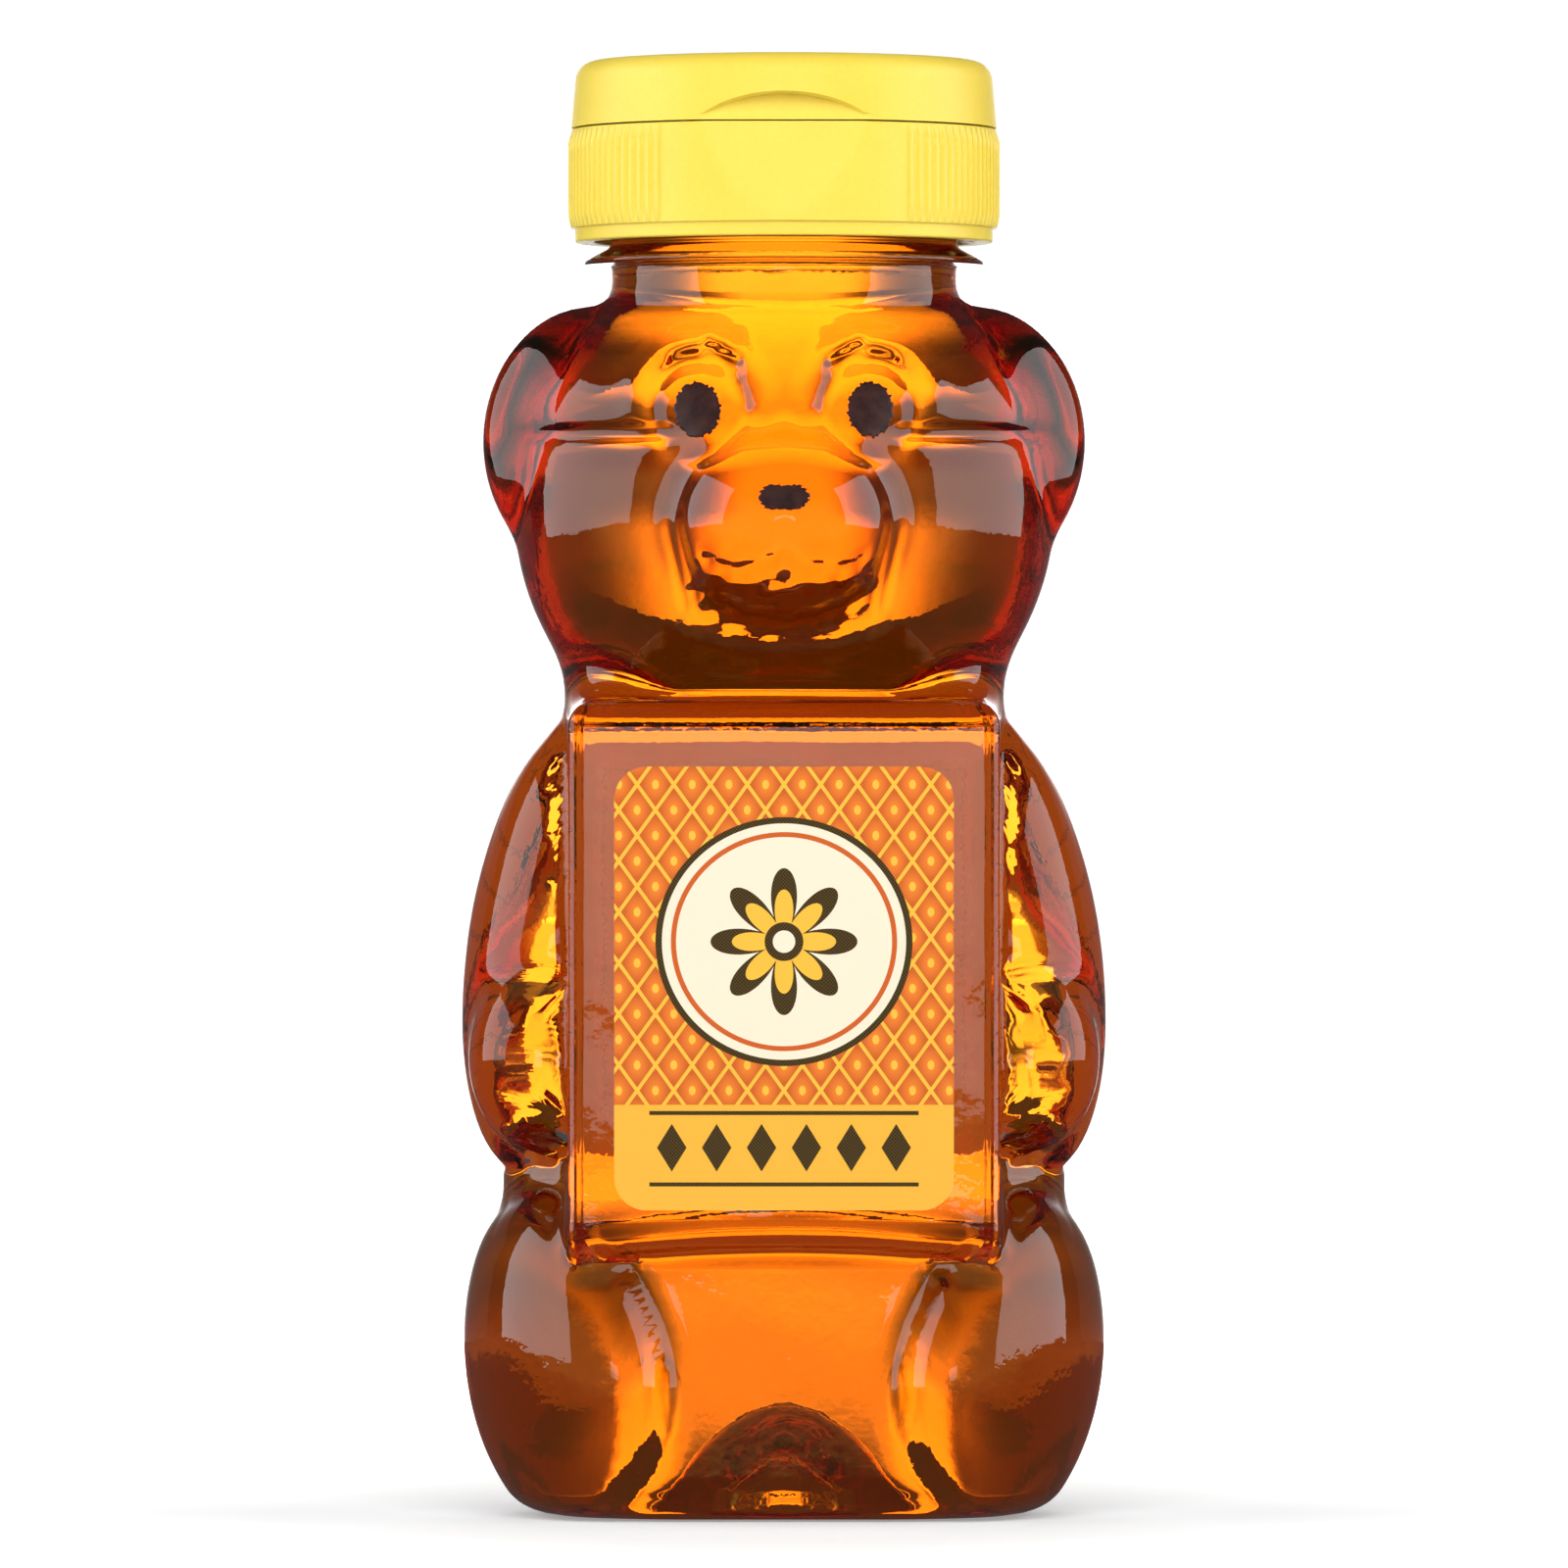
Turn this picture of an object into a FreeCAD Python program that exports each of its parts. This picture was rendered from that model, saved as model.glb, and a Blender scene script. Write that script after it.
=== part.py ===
import FreeCAD, Part
import os
import Sketcher

# Bear-shaped squeeze bottle of honey with a screw-on flip-top cap.
# +Z is up, the bear looks along -Y, and the origin is on the table at the middle of the bounding box.
# All lengths are in millimetres and all angles in degrees. Distances in Y are from the neck's axis until
# the finished pieces are moved back by axis_y, which brings the middle of the bounding box to the origin.

doc = FreeCAD.newDocument("HoneyBear")

# Driving dimensions: name, value, meaning.
SIZES = (
    ("wall", 0.6, "blow-moulded wall of the bottle"),
    ("fill_gap", 0.1, "gap between the honey and the wall"),
    ("fill_drop", 5.0, "honey surface below the lip"),
    ("torso_w", 42.4, "width of the flat label panels"),
    ("torso_front", 23.5, "front panel from the axis"),
    ("torso_back", 21.5, "back panel from the axis"),
    ("torso_z", 25.5, "lower edge of the label panels"),
    ("torso_top", 80.5, "shoulder height"),
    ("torso_r", 2.4, "rounding of the torso's edges"),
    ("arm_x", 23.0, "arm centre from the middle"),
    ("arm_y", 4.0, "arm centre in front of the axis"),
    ("arm_z", 56.3, "arm centre height"),
    ("arm_rx", 8.5, "arm half width"),
    ("arm_ry", 12.5, "arm half depth"),
    ("arm_rz", 22.6, "arm half length"),
    ("arm_lean", 8.3, "arm lean, with the shoulder inwards"),
    ("paw_x", 24.2, "paw centre from the middle"),
    ("paw_y", 12.0, "paw centre in front of the axis"),
    ("paw_z", 45.5, "paw centre height"),
    ("paw_rx", 7.0, "paw half width"),
    ("paw_ry", 8.5, "paw half depth"),
    ("paw_rz", 9.5, "paw half height"),
    ("waist_z", 33.0, "height of the waist"),
    ("waist_rx", 28.0, "waist half width"),
    ("waist_ry", 20.0, "waist half depth"),
    ("waist_rz", 22.0, "waist half height"),
    ("seat_w", 46.0, "width of the lower body"),
    ("seat_front", 20.5, "lower body in front of the axis"),
    ("seat_back", 21.0, "lower body behind the axis"),
    ("seat_in", 8.5, "height that the lower body reaches into the torso"),
    ("seat_r", 5.0, "rounding of the lower body"),
    ("leg_x", 19.5, "leg centre from the middle"),
    ("leg_y", 4.5, "leg centre in front of the axis"),
    ("leg_z", 14.5, "leg centre height"),
    ("leg_rx", 12.2, "leg half width"),
    ("leg_ry", 22.5, "leg half length"),
    ("leg_rz", 19.0, "leg half height"),
    ("leg_lean", 11.0, "leg lean, with the hip outwards"),
    ("dome_rx", 15.0, "half width of the hollow under the base"),
    ("dome_ry", 12.5, "half depth of the hollow under the base"),
    ("dome_rz", 5.0, "height of the hollow under the base"),
    ("head_w", 54.0, "width of the head without its ears"),
    ("head_d", 46.0, "depth of the head"),
    ("chin_in", 4.5, "depth that the head reaches into the torso"),
    ("cheek_rise", 19.5, "cheek centre above the shoulder"),
    ("brow_rise", 17.0, "start of the crown's edge above the cheek centre"),
    ("brow_r", 30.0, "rounding from the cheeks up to the crown"),
    ("brow_in", 5.3, "crown's edge inside the cheeks"),
    ("crown_r", 3.5, "rounding of the crown's edge"),
    ("ear_x", 19.0, "ear centre from the middle"),
    ("ear_y", 1.0, "ear centre in front of the axis"),
    ("ear_rise", 6.5, "ear centre above the cheek centre"),
    ("ear_rx", 11.0, "ear half width"),
    ("ear_ry", 9.0, "ear half thickness"),
    ("ear_rz", 13.5, "ear half height"),
    ("snout_y", 20.0, "snout centre in front of the axis"),
    ("snout_drop", 2.0, "snout centre below the cheek centre"),
    ("snout_rx", 10.6, "snout half width"),
    ("snout_ry", 9.5, "snout half length"),
    ("snout_rz", 8.2, "snout half height"),
    ("ink_t", 0.15, "thickness of the printed ink"),
    ("eye_x", 8.5, "eye from the middle"),
    ("eye_rise", 9.2, "eye above the cheek centre"),
    ("eye_w", 4.7, "eye width"),
    ("eye_h", 5.5, "eye height"),
    ("nose_rise", 2.4, "nose above the snout's centre"),
    ("nose_w", 4.8, "nose width"),
    ("nose_h", 2.7, "nose height"),
    ("label_t", 0.15, "thickness of the labels"),
    ("label_r", 3.2, "corner radius of the labels"),
    ("front_label_w", 33.3, "front label width"),
    ("front_label_h", 43.5, "front label height"),
    ("front_label_rise", 5.1, "front label above the panel's lower edge"),
    ("back_label_w", 37.0, "back label width"),
    ("back_label_h", 41.5, "back label height"),
    ("back_label_rise", 9.8, "back label above the panel's lower edge"),
    ("neck_r", 17.3, "outer radius of the neck"),
    ("neck_wall", 1.7, "wall of the neck"),
    ("neck_h", 14.5, "lip above the crown"),
    ("neck_in", 8.5, "depth that the neck reaches into the head"),
    ("bead_drop", 11.0, "underside of the carrying ring below the lip"),
    ("bead_out", 2.7, "width of the carrying ring"),
    ("bead_edge", 0.6, "edge thickness of the carrying ring"),
    ("bead_h", 1.8, "height of the carrying ring at the neck"),
    ("thread_pitch", 4.233, "rise of the thread in one turn"),
    ("thread_out", 1.2, "height of the bottle's thread"),
    ("thread_foot", 2.2, "thread width at its foot"),
    ("thread_crest", 1.2, "thread width at its crest"),
    ("thread_drop", 5.7, "start of the bottle's thread below the lip"),
    ("thread_turns", 1.0, "turns of the bottle's thread"),
    ("thread_bite", 0.4, "depth of each thread's foot in its wall"),
    ("thread_play", 0.5, "radial clearance of the threads"),
    ("flank_play", 0.15, "clearance between the thread flanks"),
    ("cap_turns", 0.95, "turns of the cap's thread"),
    ("seal_t", 0.15, "thickness of the foil on the lip"),
    ("seal_set", 0.2, "foil edge inside the neck's outer edge"),
    ("liner_t", 1.0, "thickness of the cap's liner"),
    ("liner_play", 0.6, "liner's clearance inside the cap"),
    ("liner_w", 6.0, "width of the liner's ring"),
    ("deck_t", 1.45, "deck of the cap"),
    ("cap_wall", 2.2, "skirt of the cap"),
    ("cap_gap", 0.6, "cap above the carrying ring"),
    ("rim_h", 1.4, "plain rim at the foot of the skirt"),
    ("rim_set", 0.4, "step from the skirt in to the rim"),
    ("rib_w", 0.5, "width of a grip rib"),
    ("rib_out", 0.3, "height of a grip rib"),
    ("rib_top", 1.0, "ribs end below the parting line"),
    ("rib_first", 36.0, "first rib from the front"),
    ("rib_sweep", 114.0, "angle that the ribs cover on each side"),
    ("rib_count", 39, "ribs on each side"),
    ("orifice_r", 3.1, "radius of the pouring hole"),
    ("spout_r", 6.0, "foot radius of the spout"),
    ("spout_tip_r", 4.6, "tip radius of the spout"),
    ("spout_h", 3.8, "height of the spout"),
    ("ring_t", 1.0, "thickness of the locating ring on the deck"),
    ("ring_h", 1.6, "height of the locating ring"),
    ("ring_gap", 0.4, "locating ring inside the lid"),
    ("lid_gap", 0.15, "gap at the parting line"),
    ("lid_h", 6.65, "height of the lid"),
    ("lid_wall", 1.4, "wall of the lid"),
    ("lid_roof", 1.3, "roof of the lid"),
    ("lid_draft", 0.4, "lid narrower at its top"),
    ("lid_edge_r", 2.0, "rounding of the lid's top edge"),
    ("collar_gap", 0.15, "gap between the spout and the lid's sealing collar"),
    ("collar_t", 0.8, "wall of the sealing collar"),
    ("collar_reach", 1.2, "depth of the sealing collar over the spout"),
    ("scoop_w", 20.2, "width of the thumb recess"),
    ("scoop_h", 10.8, "height of the thumb recess"),
    ("scoop_rise", 2.8, "top of the thumb recess above the parting line"),
    ("scoop_depth", 2.3, "depth of the thumb recess at its top"),
    ("scoop_lean", 11.0, "lean of the thumb recess's back"),
    ("web_w", 9.6, "width of the living hinge"),
    ("web_t", 0.4, "thickness of the living hinge"),
    ("web_h", 1.6, "height of the living hinge on the cap and on the lid"),
    ("web_set", 0.7, "seat of the living hinge in the cap's wall"),
    ("web_gap", 0.1, "gap round the living hinge in its seats"),
    ("web_notch", 3.2, "notch in the cap below the parting line, for the hinge and the folded lid"),
)

# Places that follow from the driving dimensions.
DERIVED = (
    ("cheek_z", "torso_top + cheek_rise", "cheek centre"),
    ("brow_z", "torso_top + cheek_rise + brow_rise", "start of the crown's edge"),
    ("lip_z", "torso_top + cheek_rise + brow_rise + crown_r + neck_h", "lip of the neck"),
    ("skirt_r", "neck_r + thread_out + thread_play", "inner radius of the cap"),
    ("cap_r", "neck_r + thread_out + thread_play + cap_wall", "outer radius of the cap"),
    ("thread_mean", "(thread_foot + thread_crest) / 2", "mean width of a thread"),
    ("stack_t", "seal_t + liner_t", "foil and liner between lip and deck"),
    ("chord_y", "cap_wall - scoop_depth - lid_wall", "flat inside the lid, from the cap's inner radius"),
    ("axis_y", "(snout_y + snout_ry + ink_t - head_d / 2) / 2", "neck's axis behind the origin"),
)

sheet = doc.addObject("Spreadsheet::Sheet", "Sizes")
ALIASES = {name for name, _, _ in SIZES + DERIVED}


def size(expression):
    """An expression over the names of the sizes, in the form that other objects use."""
    made, word = "", ""
    for character in expression + " ":
        if character.isalnum() or character == "_":
            word += character
            continue
        made += (f"Sizes.{word}" if word in ALIASES else word) + character
        word = ""
    return made.strip()


for row, (name, value, meaning) in enumerate(SIZES + DERIVED, start=1):
    is_formula = isinstance(value, str)
    sheet.set(f"A{row}", name)
    sheet.set(f"B{row}", f"={value}" if is_formula else str(value))
    sheet.set(f"C{row}", meaning)
    sheet.setAlias(f"B{row}", name)
doc.recompute()


def number(expression):
    """The present value of an expression over the sizes."""
    return float(sheet.evalExpression(size(expression)))


def bind(thing, **expressions):
    """Ties properties of an object to the sizes. A double underscore stands for a dot."""
    for path, expression in expressions.items():
        thing.setExpression(path.replace("__", "."), size(expression))
    return thing


def place(thing, x="0", y="0", z="0"):
    """Ties the position of an object to the sizes."""
    return bind(thing, Placement__Base__x=x, Placement__Base__y=y, Placement__Base__z=z)


def lobe(name, centre, radii, inset="0", lean="0"):
    """An ellipsoid drawn in by inset on every side and turned about Y by lean."""
    body = doc.addObject("Part::Ellipsoid", name)
    body.Angle1, body.Angle2, body.Angle3 = -90, 90, 360
    bind(
        body,
        Radius1=f"{radii[2]} - ({inset})",
        Radius2=f"{radii[0]} - ({inset})",
        Radius3=f"{radii[1]} - ({inset})",
    )
    body.Placement.Rotation = FreeCAD.Rotation(FreeCAD.Vector(0, 1, 0), 1)
    bind(body, Placement__Rotation__Angle=lean)
    return place(body, *centre)


def lobe_pair(name, centre, radii, inset, lean="0"):
    """The same ellipsoid on both sides of the bear."""
    x, y, z = centre
    return [
        lobe(f"{name}_plus", (x, y, z), radii, inset, lean),
        lobe(f"{name}_minus", (f"-{x}", y, z), radii, inset, f"-({lean})"),
    ]


def box(body, kind, name, x_range, y_range, z_range):
    """A box feature of a body between given limits."""
    made = body.newObject(f"PartDesign::{kind}Box", name)
    return bind(
        made,
        Length=f"({x_range[1]}) - ({x_range[0]})",
        Width=f"({y_range[1]}) - ({y_range[0]})",
        Height=f"({z_range[1]}) - ({z_range[0]})",
        Placement__Base__x=x_range[0],
        Placement__Base__y=y_range[0],
        Placement__Base__z=z_range[0],
    )


def rounded_block(name, width, front, back, low, high, rounding, inset):
    """A box with rounded edges from y = -front to y = back, drawn in by inset on every side."""
    body = doc.addObject("PartDesign::Body", name)
    core = box(
        body,
        "Additive",
        f"{name}_box",
        (f"{inset} - {width} / 2", f"{width} / 2 - ({inset})"),
        (f"{inset} - {front}", f"{back} - ({inset})"),
        (f"{low} + {inset}", f"{high} - ({inset})"),
    )
    doc.recompute()
    edges = body.newObject("PartDesign::Fillet", f"{name}_edges")
    edges.Base = (core, ["Edge1"])
    edges.UseAllEdges = True
    bind(edges, Radius=f"{rounding} - ({inset})")
    return body


def arc_through(start, end, radius):
    """The shorter anticlockwise arc of a given radius from start to end."""
    chord = end - start
    rise = max(radius**2 - chord.Length**2 / 4, 0) ** 0.5
    outward = FreeCAD.Vector(chord.y, -chord.x, 0).normalize()
    crest = (start + end) / 2 + outward * (radius - rise)
    return Part.Arc(start, crest, end)


def sketch_on(body, name, role, corners, offset="0"):
    """A closed sketch on one of the body's own planes. A corner is (x, y), or (x, y, radius) where
    an anticlockwise arc of that radius leaves it. The offset is along the plane's normal."""
    sketch = body.newObject("Sketcher::SketchObject", name)
    plane = next(f for f in body.Origin.OriginFeatures if f.Role == role)
    sketch.AttachmentSupport = [(plane, "")]
    sketch.MapMode = "FlatFace"
    bind(sketch, AttachmentOffset__Base__z=offset)
    count = len(corners)
    points = [FreeCAD.Vector(number(corner[0]), number(corner[1]), 0) for corner in corners]

    def hold(kind, edge, label, expression):
        """Adds a named dimension that follows the sizes."""
        target = (edge,) if kind == "Radius" else (-1, 1, edge, 1)
        index = sketch.addConstraint(Sketcher.Constraint(kind, *target, number(expression)))
        sketch.renameConstraint(index, label)
        sketch.setExpression(f"Constraints.{label}", size(expression))

    for i, corner in enumerate(corners):
        start, end = points[i], points[(i + 1) % count]
        if len(corner) == 3:
            sketch.addGeometry(arc_through(start, end, number(corner[2])), False)
        else:
            sketch.addGeometry(Part.LineSegment(start, end), False)
    for i in range(count):
        sketch.addConstraint(Sketcher.Constraint("Coincident", i, 2, (i + 1) % count, 1))
    for i, corner in enumerate(corners):
        hold("DistanceX", i, f"x{i}", corner[0])
        hold("DistanceY", i, f"y{i}", corner[1])
        if len(corner) == 3:
            hold("Radius", i, f"radius{i}", corner[2])
    return sketch


def turned(body, name, corners):
    """A full revolution about Z of corners given as (radius, height)."""
    sketch = sketch_on(body, f"{name}_profile", "XZ_Plane", corners)
    made = body.newObject("PartDesign::Revolution", name)
    made.Profile = sketch
    made.ReferenceAxis = (sketch, ["V_Axis"])
    made.Angle = 360
    return made


def thread(body, name, foot_r, crest_r, start_z, turns):
    """A right-hand thread of trapezium section, its foot sunk into the wall that carries it."""
    half_foot, half_crest = "thread_foot / 2", "thread_crest / 2"
    corners = [
        (foot_r, f"{start_z} - {half_foot}"),
        (crest_r, f"{start_z} - {half_crest}"),
        (crest_r, f"{start_z} + {half_crest}"),
        (foot_r, f"{start_z} + {half_foot}"),
    ]
    sketch = sketch_on(body, f"{name}_profile", "XZ_Plane", corners)
    made = body.newObject("PartDesign::AdditiveHelix", name)
    made.Profile = sketch
    made.ReferenceAxis = (sketch, ["V_Axis"])
    made.Mode = "pitch-turns-angle"
    made.LeftHanded = False
    bind(made, Pitch="thread_pitch", Turns=turns)
    return made


def combine(kind, name, shapes):
    """A boolean union or intersection of several objects."""
    made = doc.addObject(f"Part::Multi{kind}", name)
    made.Shapes = shapes
    return made


def cut(name, base, tool):
    """What is left of the base without the tool."""
    made = doc.addObject("Part::Cut", name)
    made.Base = base
    made.Tool = tool
    return made


def head(name, inset):
    """The bear's head: cheeks turned about Z, closed by a rounded crown, then made oval."""
    radius = f"(head_w / 2 - ({inset}))"
    reach = f"min(cheek_rise + chin_in; 0.95 * {radius})"
    chin = f"cheek_z - {reach}"
    top = f"brow_z + crown_r - ({inset})"
    body = doc.addObject("PartDesign::Body", f"{name}_round")
    turned(
        body,
        f"{name}_turned",
        [
            ("0", chin),
            (f"sqrt({radius} ^ 2 - {reach} ^ 2)", chin, radius),
            (radius, "cheek_z", f"brow_r - ({inset})"),
            (f"{radius} - brow_in", "brow_z", f"crown_r - ({inset})"),
            ("head_w / 2 - brow_in - crown_r", top),
            ("0", top),
        ],
    )
    oval = doc.addObject("Part::Scale", name)
    oval.Base = body
    oval.Uniform = False
    return bind(oval, YScale=f"(head_d / 2 - ({inset})) / {radius}")


def snout(name, inset):
    """The bear's snout."""
    centre = ("0", "-snout_y", "cheek_z - snout_drop")
    return lobe(name, centre, ("snout_rx", "snout_ry", "snout_rz"), inset)


def bear(name, inset):
    """The closed bear without its neck, drawn in by inset: lobes on a rounded torso, cut flat at the
    base, with a hollow under it."""
    ear = ("ear_rx", "ear_ry", "ear_rz")
    arm = ("arm_rx", "arm_ry", "arm_rz")
    paw = ("paw_rx", "paw_ry", "paw_rz")
    leg = ("leg_rx", "leg_ry", "leg_rz")
    waist = ("waist_rx", "waist_ry", "waist_rz")
    torso = ("torso_w", "torso_front", "torso_back", "torso_z", "torso_top", "torso_r")
    seat = ("seat_w", "seat_front", "seat_back", "0", "torso_z + seat_in", "seat_r")
    shapes = [
        rounded_block(f"{name}_torso", *torso, inset),
        rounded_block(f"{name}_seat", *seat, inset),
        lobe(f"{name}_waist", ("0", "0", "waist_z"), waist, inset),
        head(f"{name}_head", inset),
        snout(f"{name}_snout", inset),
    ]
    shapes += lobe_pair(f"{name}_ear", ("ear_x", "-ear_y", "cheek_z + ear_rise"), ear, inset)
    shapes += lobe_pair(f"{name}_arm", ("arm_x", "-arm_y", "arm_z"), arm, inset, "-arm_lean")
    shapes += lobe_pair(f"{name}_paw", ("paw_x", "-paw_y", "paw_z"), paw, inset)
    shapes += lobe_pair(f"{name}_leg", ("leg_x", "-leg_y", "leg_z"), leg, inset, "leg_lean")
    whole = combine("Fuse", f"{name}_lobes", shapes)

    below = doc.addObject("Part::Box", f"{name}_below")
    bind(below, Length="4 * leg_ry + 4 * leg_x", Width="4 * leg_ry + 4 * leg_y", Height="leg_rz")
    place(below, "-2 * leg_ry - 2 * leg_x", "-2 * leg_ry - 2 * leg_y", f"{inset} - leg_rz")
    dome = lobe(f"{name}_dome", ("0", "0", "0"), ("dome_rx", "dome_ry", "dome_rz"), f"-({inset})")
    return cut(name, whole, combine("Fuse", f"{name}_ground", [below, dome]))


def column(name, radius, top):
    """A cylinder on the neck's axis, from inside the head up to a given height."""
    made = doc.addObject("Part::Cylinder", name)
    foot = "brow_z + crown_r - neck_in"
    bind(made, Radius=radius, Height=f"{top} - ({foot})")
    return place(made, z=foot)


def label(name, width, height, low, wall_y):
    """A label with rounded corners. It starts at distance wall_y in front of the axis."""
    body = doc.addObject("PartDesign::Body", name)
    side, high = f"{width} / 2", f"{low} + {height}"
    corners = [
        (f"label_r - {side}", low),
        (f"{side} - label_r", low, "label_r"),
        (side, f"{low} + label_r"),
        (side, f"{high} - label_r", "label_r"),
        (f"{side} - label_r", high),
        (f"label_r - {side}", high, "label_r"),
        (f"-{side}", f"{high} - label_r"),
        (f"-{side}", f"{low} + label_r", "label_r"),
    ]
    sheet_pad = body.newObject("PartDesign::Pad", f"{name}_pad")
    sheet_pad.Profile = sketch_on(body, f"{name}_outline", "XZ_Plane", corners, wall_y)
    bind(sheet_pad, Length="label_t")
    return body


# Bottle: the outer bear and its threaded neck, less the same bear drawn in by the wall.
neck = doc.addObject("PartDesign::Body", "neck")
bead_r = "neck_r + bead_out"
turned(
    neck,
    "neck_turned",
    [
        ("0", "brow_z + crown_r - neck_in"),
        ("neck_r", "brow_z + crown_r - neck_in"),
        ("neck_r", "lip_z - bead_drop"),
        (bead_r, "lip_z - bead_drop"),
        (bead_r, "lip_z - bead_drop + bead_edge"),
        ("neck_r", "lip_z - bead_drop + bead_h"),
        ("neck_r", "lip_z"),
        ("0", "lip_z"),
    ],
)
thread(neck, "neck_thread", "neck_r - thread_bite", "neck_r + thread_out", "lip_z - thread_drop", "thread_turns")
outside = combine("Fuse", "bottle_outside", [bear("outer", "0"), neck])
bore = column("bore", "neck_r - neck_wall", "lip_z + 1")
inside = combine("Fuse", "bottle_inside", [bear("inner", "wall"), bore])
bottle = cut("bottle", outside, inside)

# Honey: fills the bottle up to a level inside the neck.
honey_column = column("honey_column", "neck_r - neck_wall - fill_gap", "lip_z - fill_drop")
honey = combine("Fuse", "honey", [bear("filling", "(wall + fill_gap)"), honey_column])

# Printed eyes and nose: films of ink that follow the head and the snout.
face_film = cut("face_film", head("face_over", "-ink_t"), head("face_under", "0"))
snout_film = cut("snout_film", snout("snout_over", "-ink_t"), snout("snout_under", "0"))
prints = []
for name, film, x, z, width, height in (
    ("left_eye_print", face_film, "eye_x", "cheek_z + eye_rise", "eye_w", "eye_h"),
    ("right_eye_print", face_film, "-eye_x", "cheek_z + eye_rise", "eye_w", "eye_h"),
    ("nose_print", snout_film, "0", "cheek_z - snout_drop + nose_rise", "nose_w", "nose_h"),
):
    radii = (f"{width} / 2", "snout_ry", f"{height} / 2")
    y = "-head_d / 2" if film is face_film else "-snout_y - snout_ry"
    prints.append(combine("Common", name, [film, lobe(f"{name}_oval", (x, y, z), radii)]))

# Labels on the two flat panels.
labels = [
    label("front_label", "front_label_w", "front_label_h", "torso_z + front_label_rise", "torso_front"),
    label("back_label", "back_label_w", "back_label_h", "torso_z + back_label_rise", "-torso_back - label_t"),
]

# Foil on the lip, and the liner that the cap presses on it.
inner_seal = doc.addObject("Part::Cylinder", "inner_seal")
bind(inner_seal, Radius="neck_r - seal_set", Height="seal_t")
place(inner_seal, z="lip_z")
cap_liner = doc.addObject("PartDesign::Body", "cap_liner")
liner_r = "skirt_r - liner_play"
turned(
    cap_liner,
    "liner_turned",
    [
        (f"{liner_r} - liner_w", "lip_z + seal_t"),
        (liner_r, "lip_z + seal_t"),
        (liner_r, "lip_z + stack_t"),
        (f"{liner_r} - liner_w", "lip_z + stack_t"),
    ],
)

# Thumb recess: an oval cut into the front of cap and lid, with a leaning flat back.
parting = "lip_z + stack_t + deck_t"
oval = doc.addObject("Part::Ellipse", "scoop_oval")
oval.Angle1, oval.Angle2 = 0, 360
bind(oval, MajorRadius="scoop_w / 2", MinorRadius="scoop_h / 2")
oval.Placement.Rotation = FreeCAD.Rotation(FreeCAD.Vector(1, 0, 0), 90)
place(oval, y="-cap_r - 2 * scoop_depth", z=f"{parting} + scoop_rise - scoop_h / 2")
tunnel = doc.addObject("Part::Extrusion", "scoop_tunnel")
tunnel.Base = oval
tunnel.DirMode = "Custom"
tunnel.Dir = FreeCAD.Vector(0, 1, 0)
tunnel.Solid = True
bind(tunnel, LengthFwd="4 * scoop_depth")
front_space = doc.addObject("Part::Box", "scoop_space")
bind(front_space, Length="2 * scoop_w", Width="2 * scoop_w", Height="4 * scoop_h")
front_space.Placement.Rotation = FreeCAD.Rotation(FreeCAD.Vector(1, 0, 0), -1)
bind(front_space, Placement__Rotation__Angle="scoop_lean")
reach = "(2 * scoop_w * cos(scoop_lean * 1 deg) + 2 * scoop_h * sin(scoop_lean * 1 deg))"
drop = "(2 * scoop_h * cos(scoop_lean * 1 deg) - 2 * scoop_w * sin(scoop_lean * 1 deg))"
place(front_space, "-scoop_w", f"scoop_depth - cap_r - {reach}", f"{parting} + scoop_rise - {drop}")
scoop = combine("Common", "scoop", [tunnel, front_space])

# Cap: skirt, deck, spout and locating ring, with a thread inside and grip ribs outside.
seat_y = "cap_r - web_set"
skirt_low = "lip_z - bead_drop + bead_h + cap_gap"
deck_low = "lip_z + stack_t"
ring_r = "skirt_r + chord_y - ring_gap"
cap_body = doc.addObject("PartDesign::Body", "cap_body")
turned(
    cap_body,
    "cap_turned",
    [
        ("skirt_r", skirt_low),
        ("cap_r - rim_set", skirt_low),
        ("cap_r - rim_set", f"{skirt_low} + rim_h"),
        ("cap_r", f"{skirt_low} + rim_h"),
        ("cap_r", parting),
        (ring_r, parting),
        (ring_r, f"{parting} + ring_h"),
        (f"{ring_r} - ring_t", f"{parting} + ring_h"),
        (f"{ring_r} - ring_t", parting),
        ("spout_r", parting),
        ("spout_tip_r", f"{parting} + spout_h"),
        ("orifice_r", f"{parting} + spout_h"),
        ("orifice_r", deck_low),
        ("skirt_r", deck_low),
    ],
)
cap_thread_z = "lip_z - thread_drop - thread_mean - flank_play"
thread(cap_body, "cap_thread", "skirt_r + thread_bite", "neck_r + thread_play", cap_thread_z, "cap_turns")
web_side = "web_w / 2 + web_gap"
box(
    cap_body,
    "Subtractive",
    "cap_web_notch",
    (f"-({web_side})", web_side),
    (seat_y, "cap_r + web_set"),
    (f"{parting} - web_notch", f"{parting} + web_h"),
)
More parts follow.
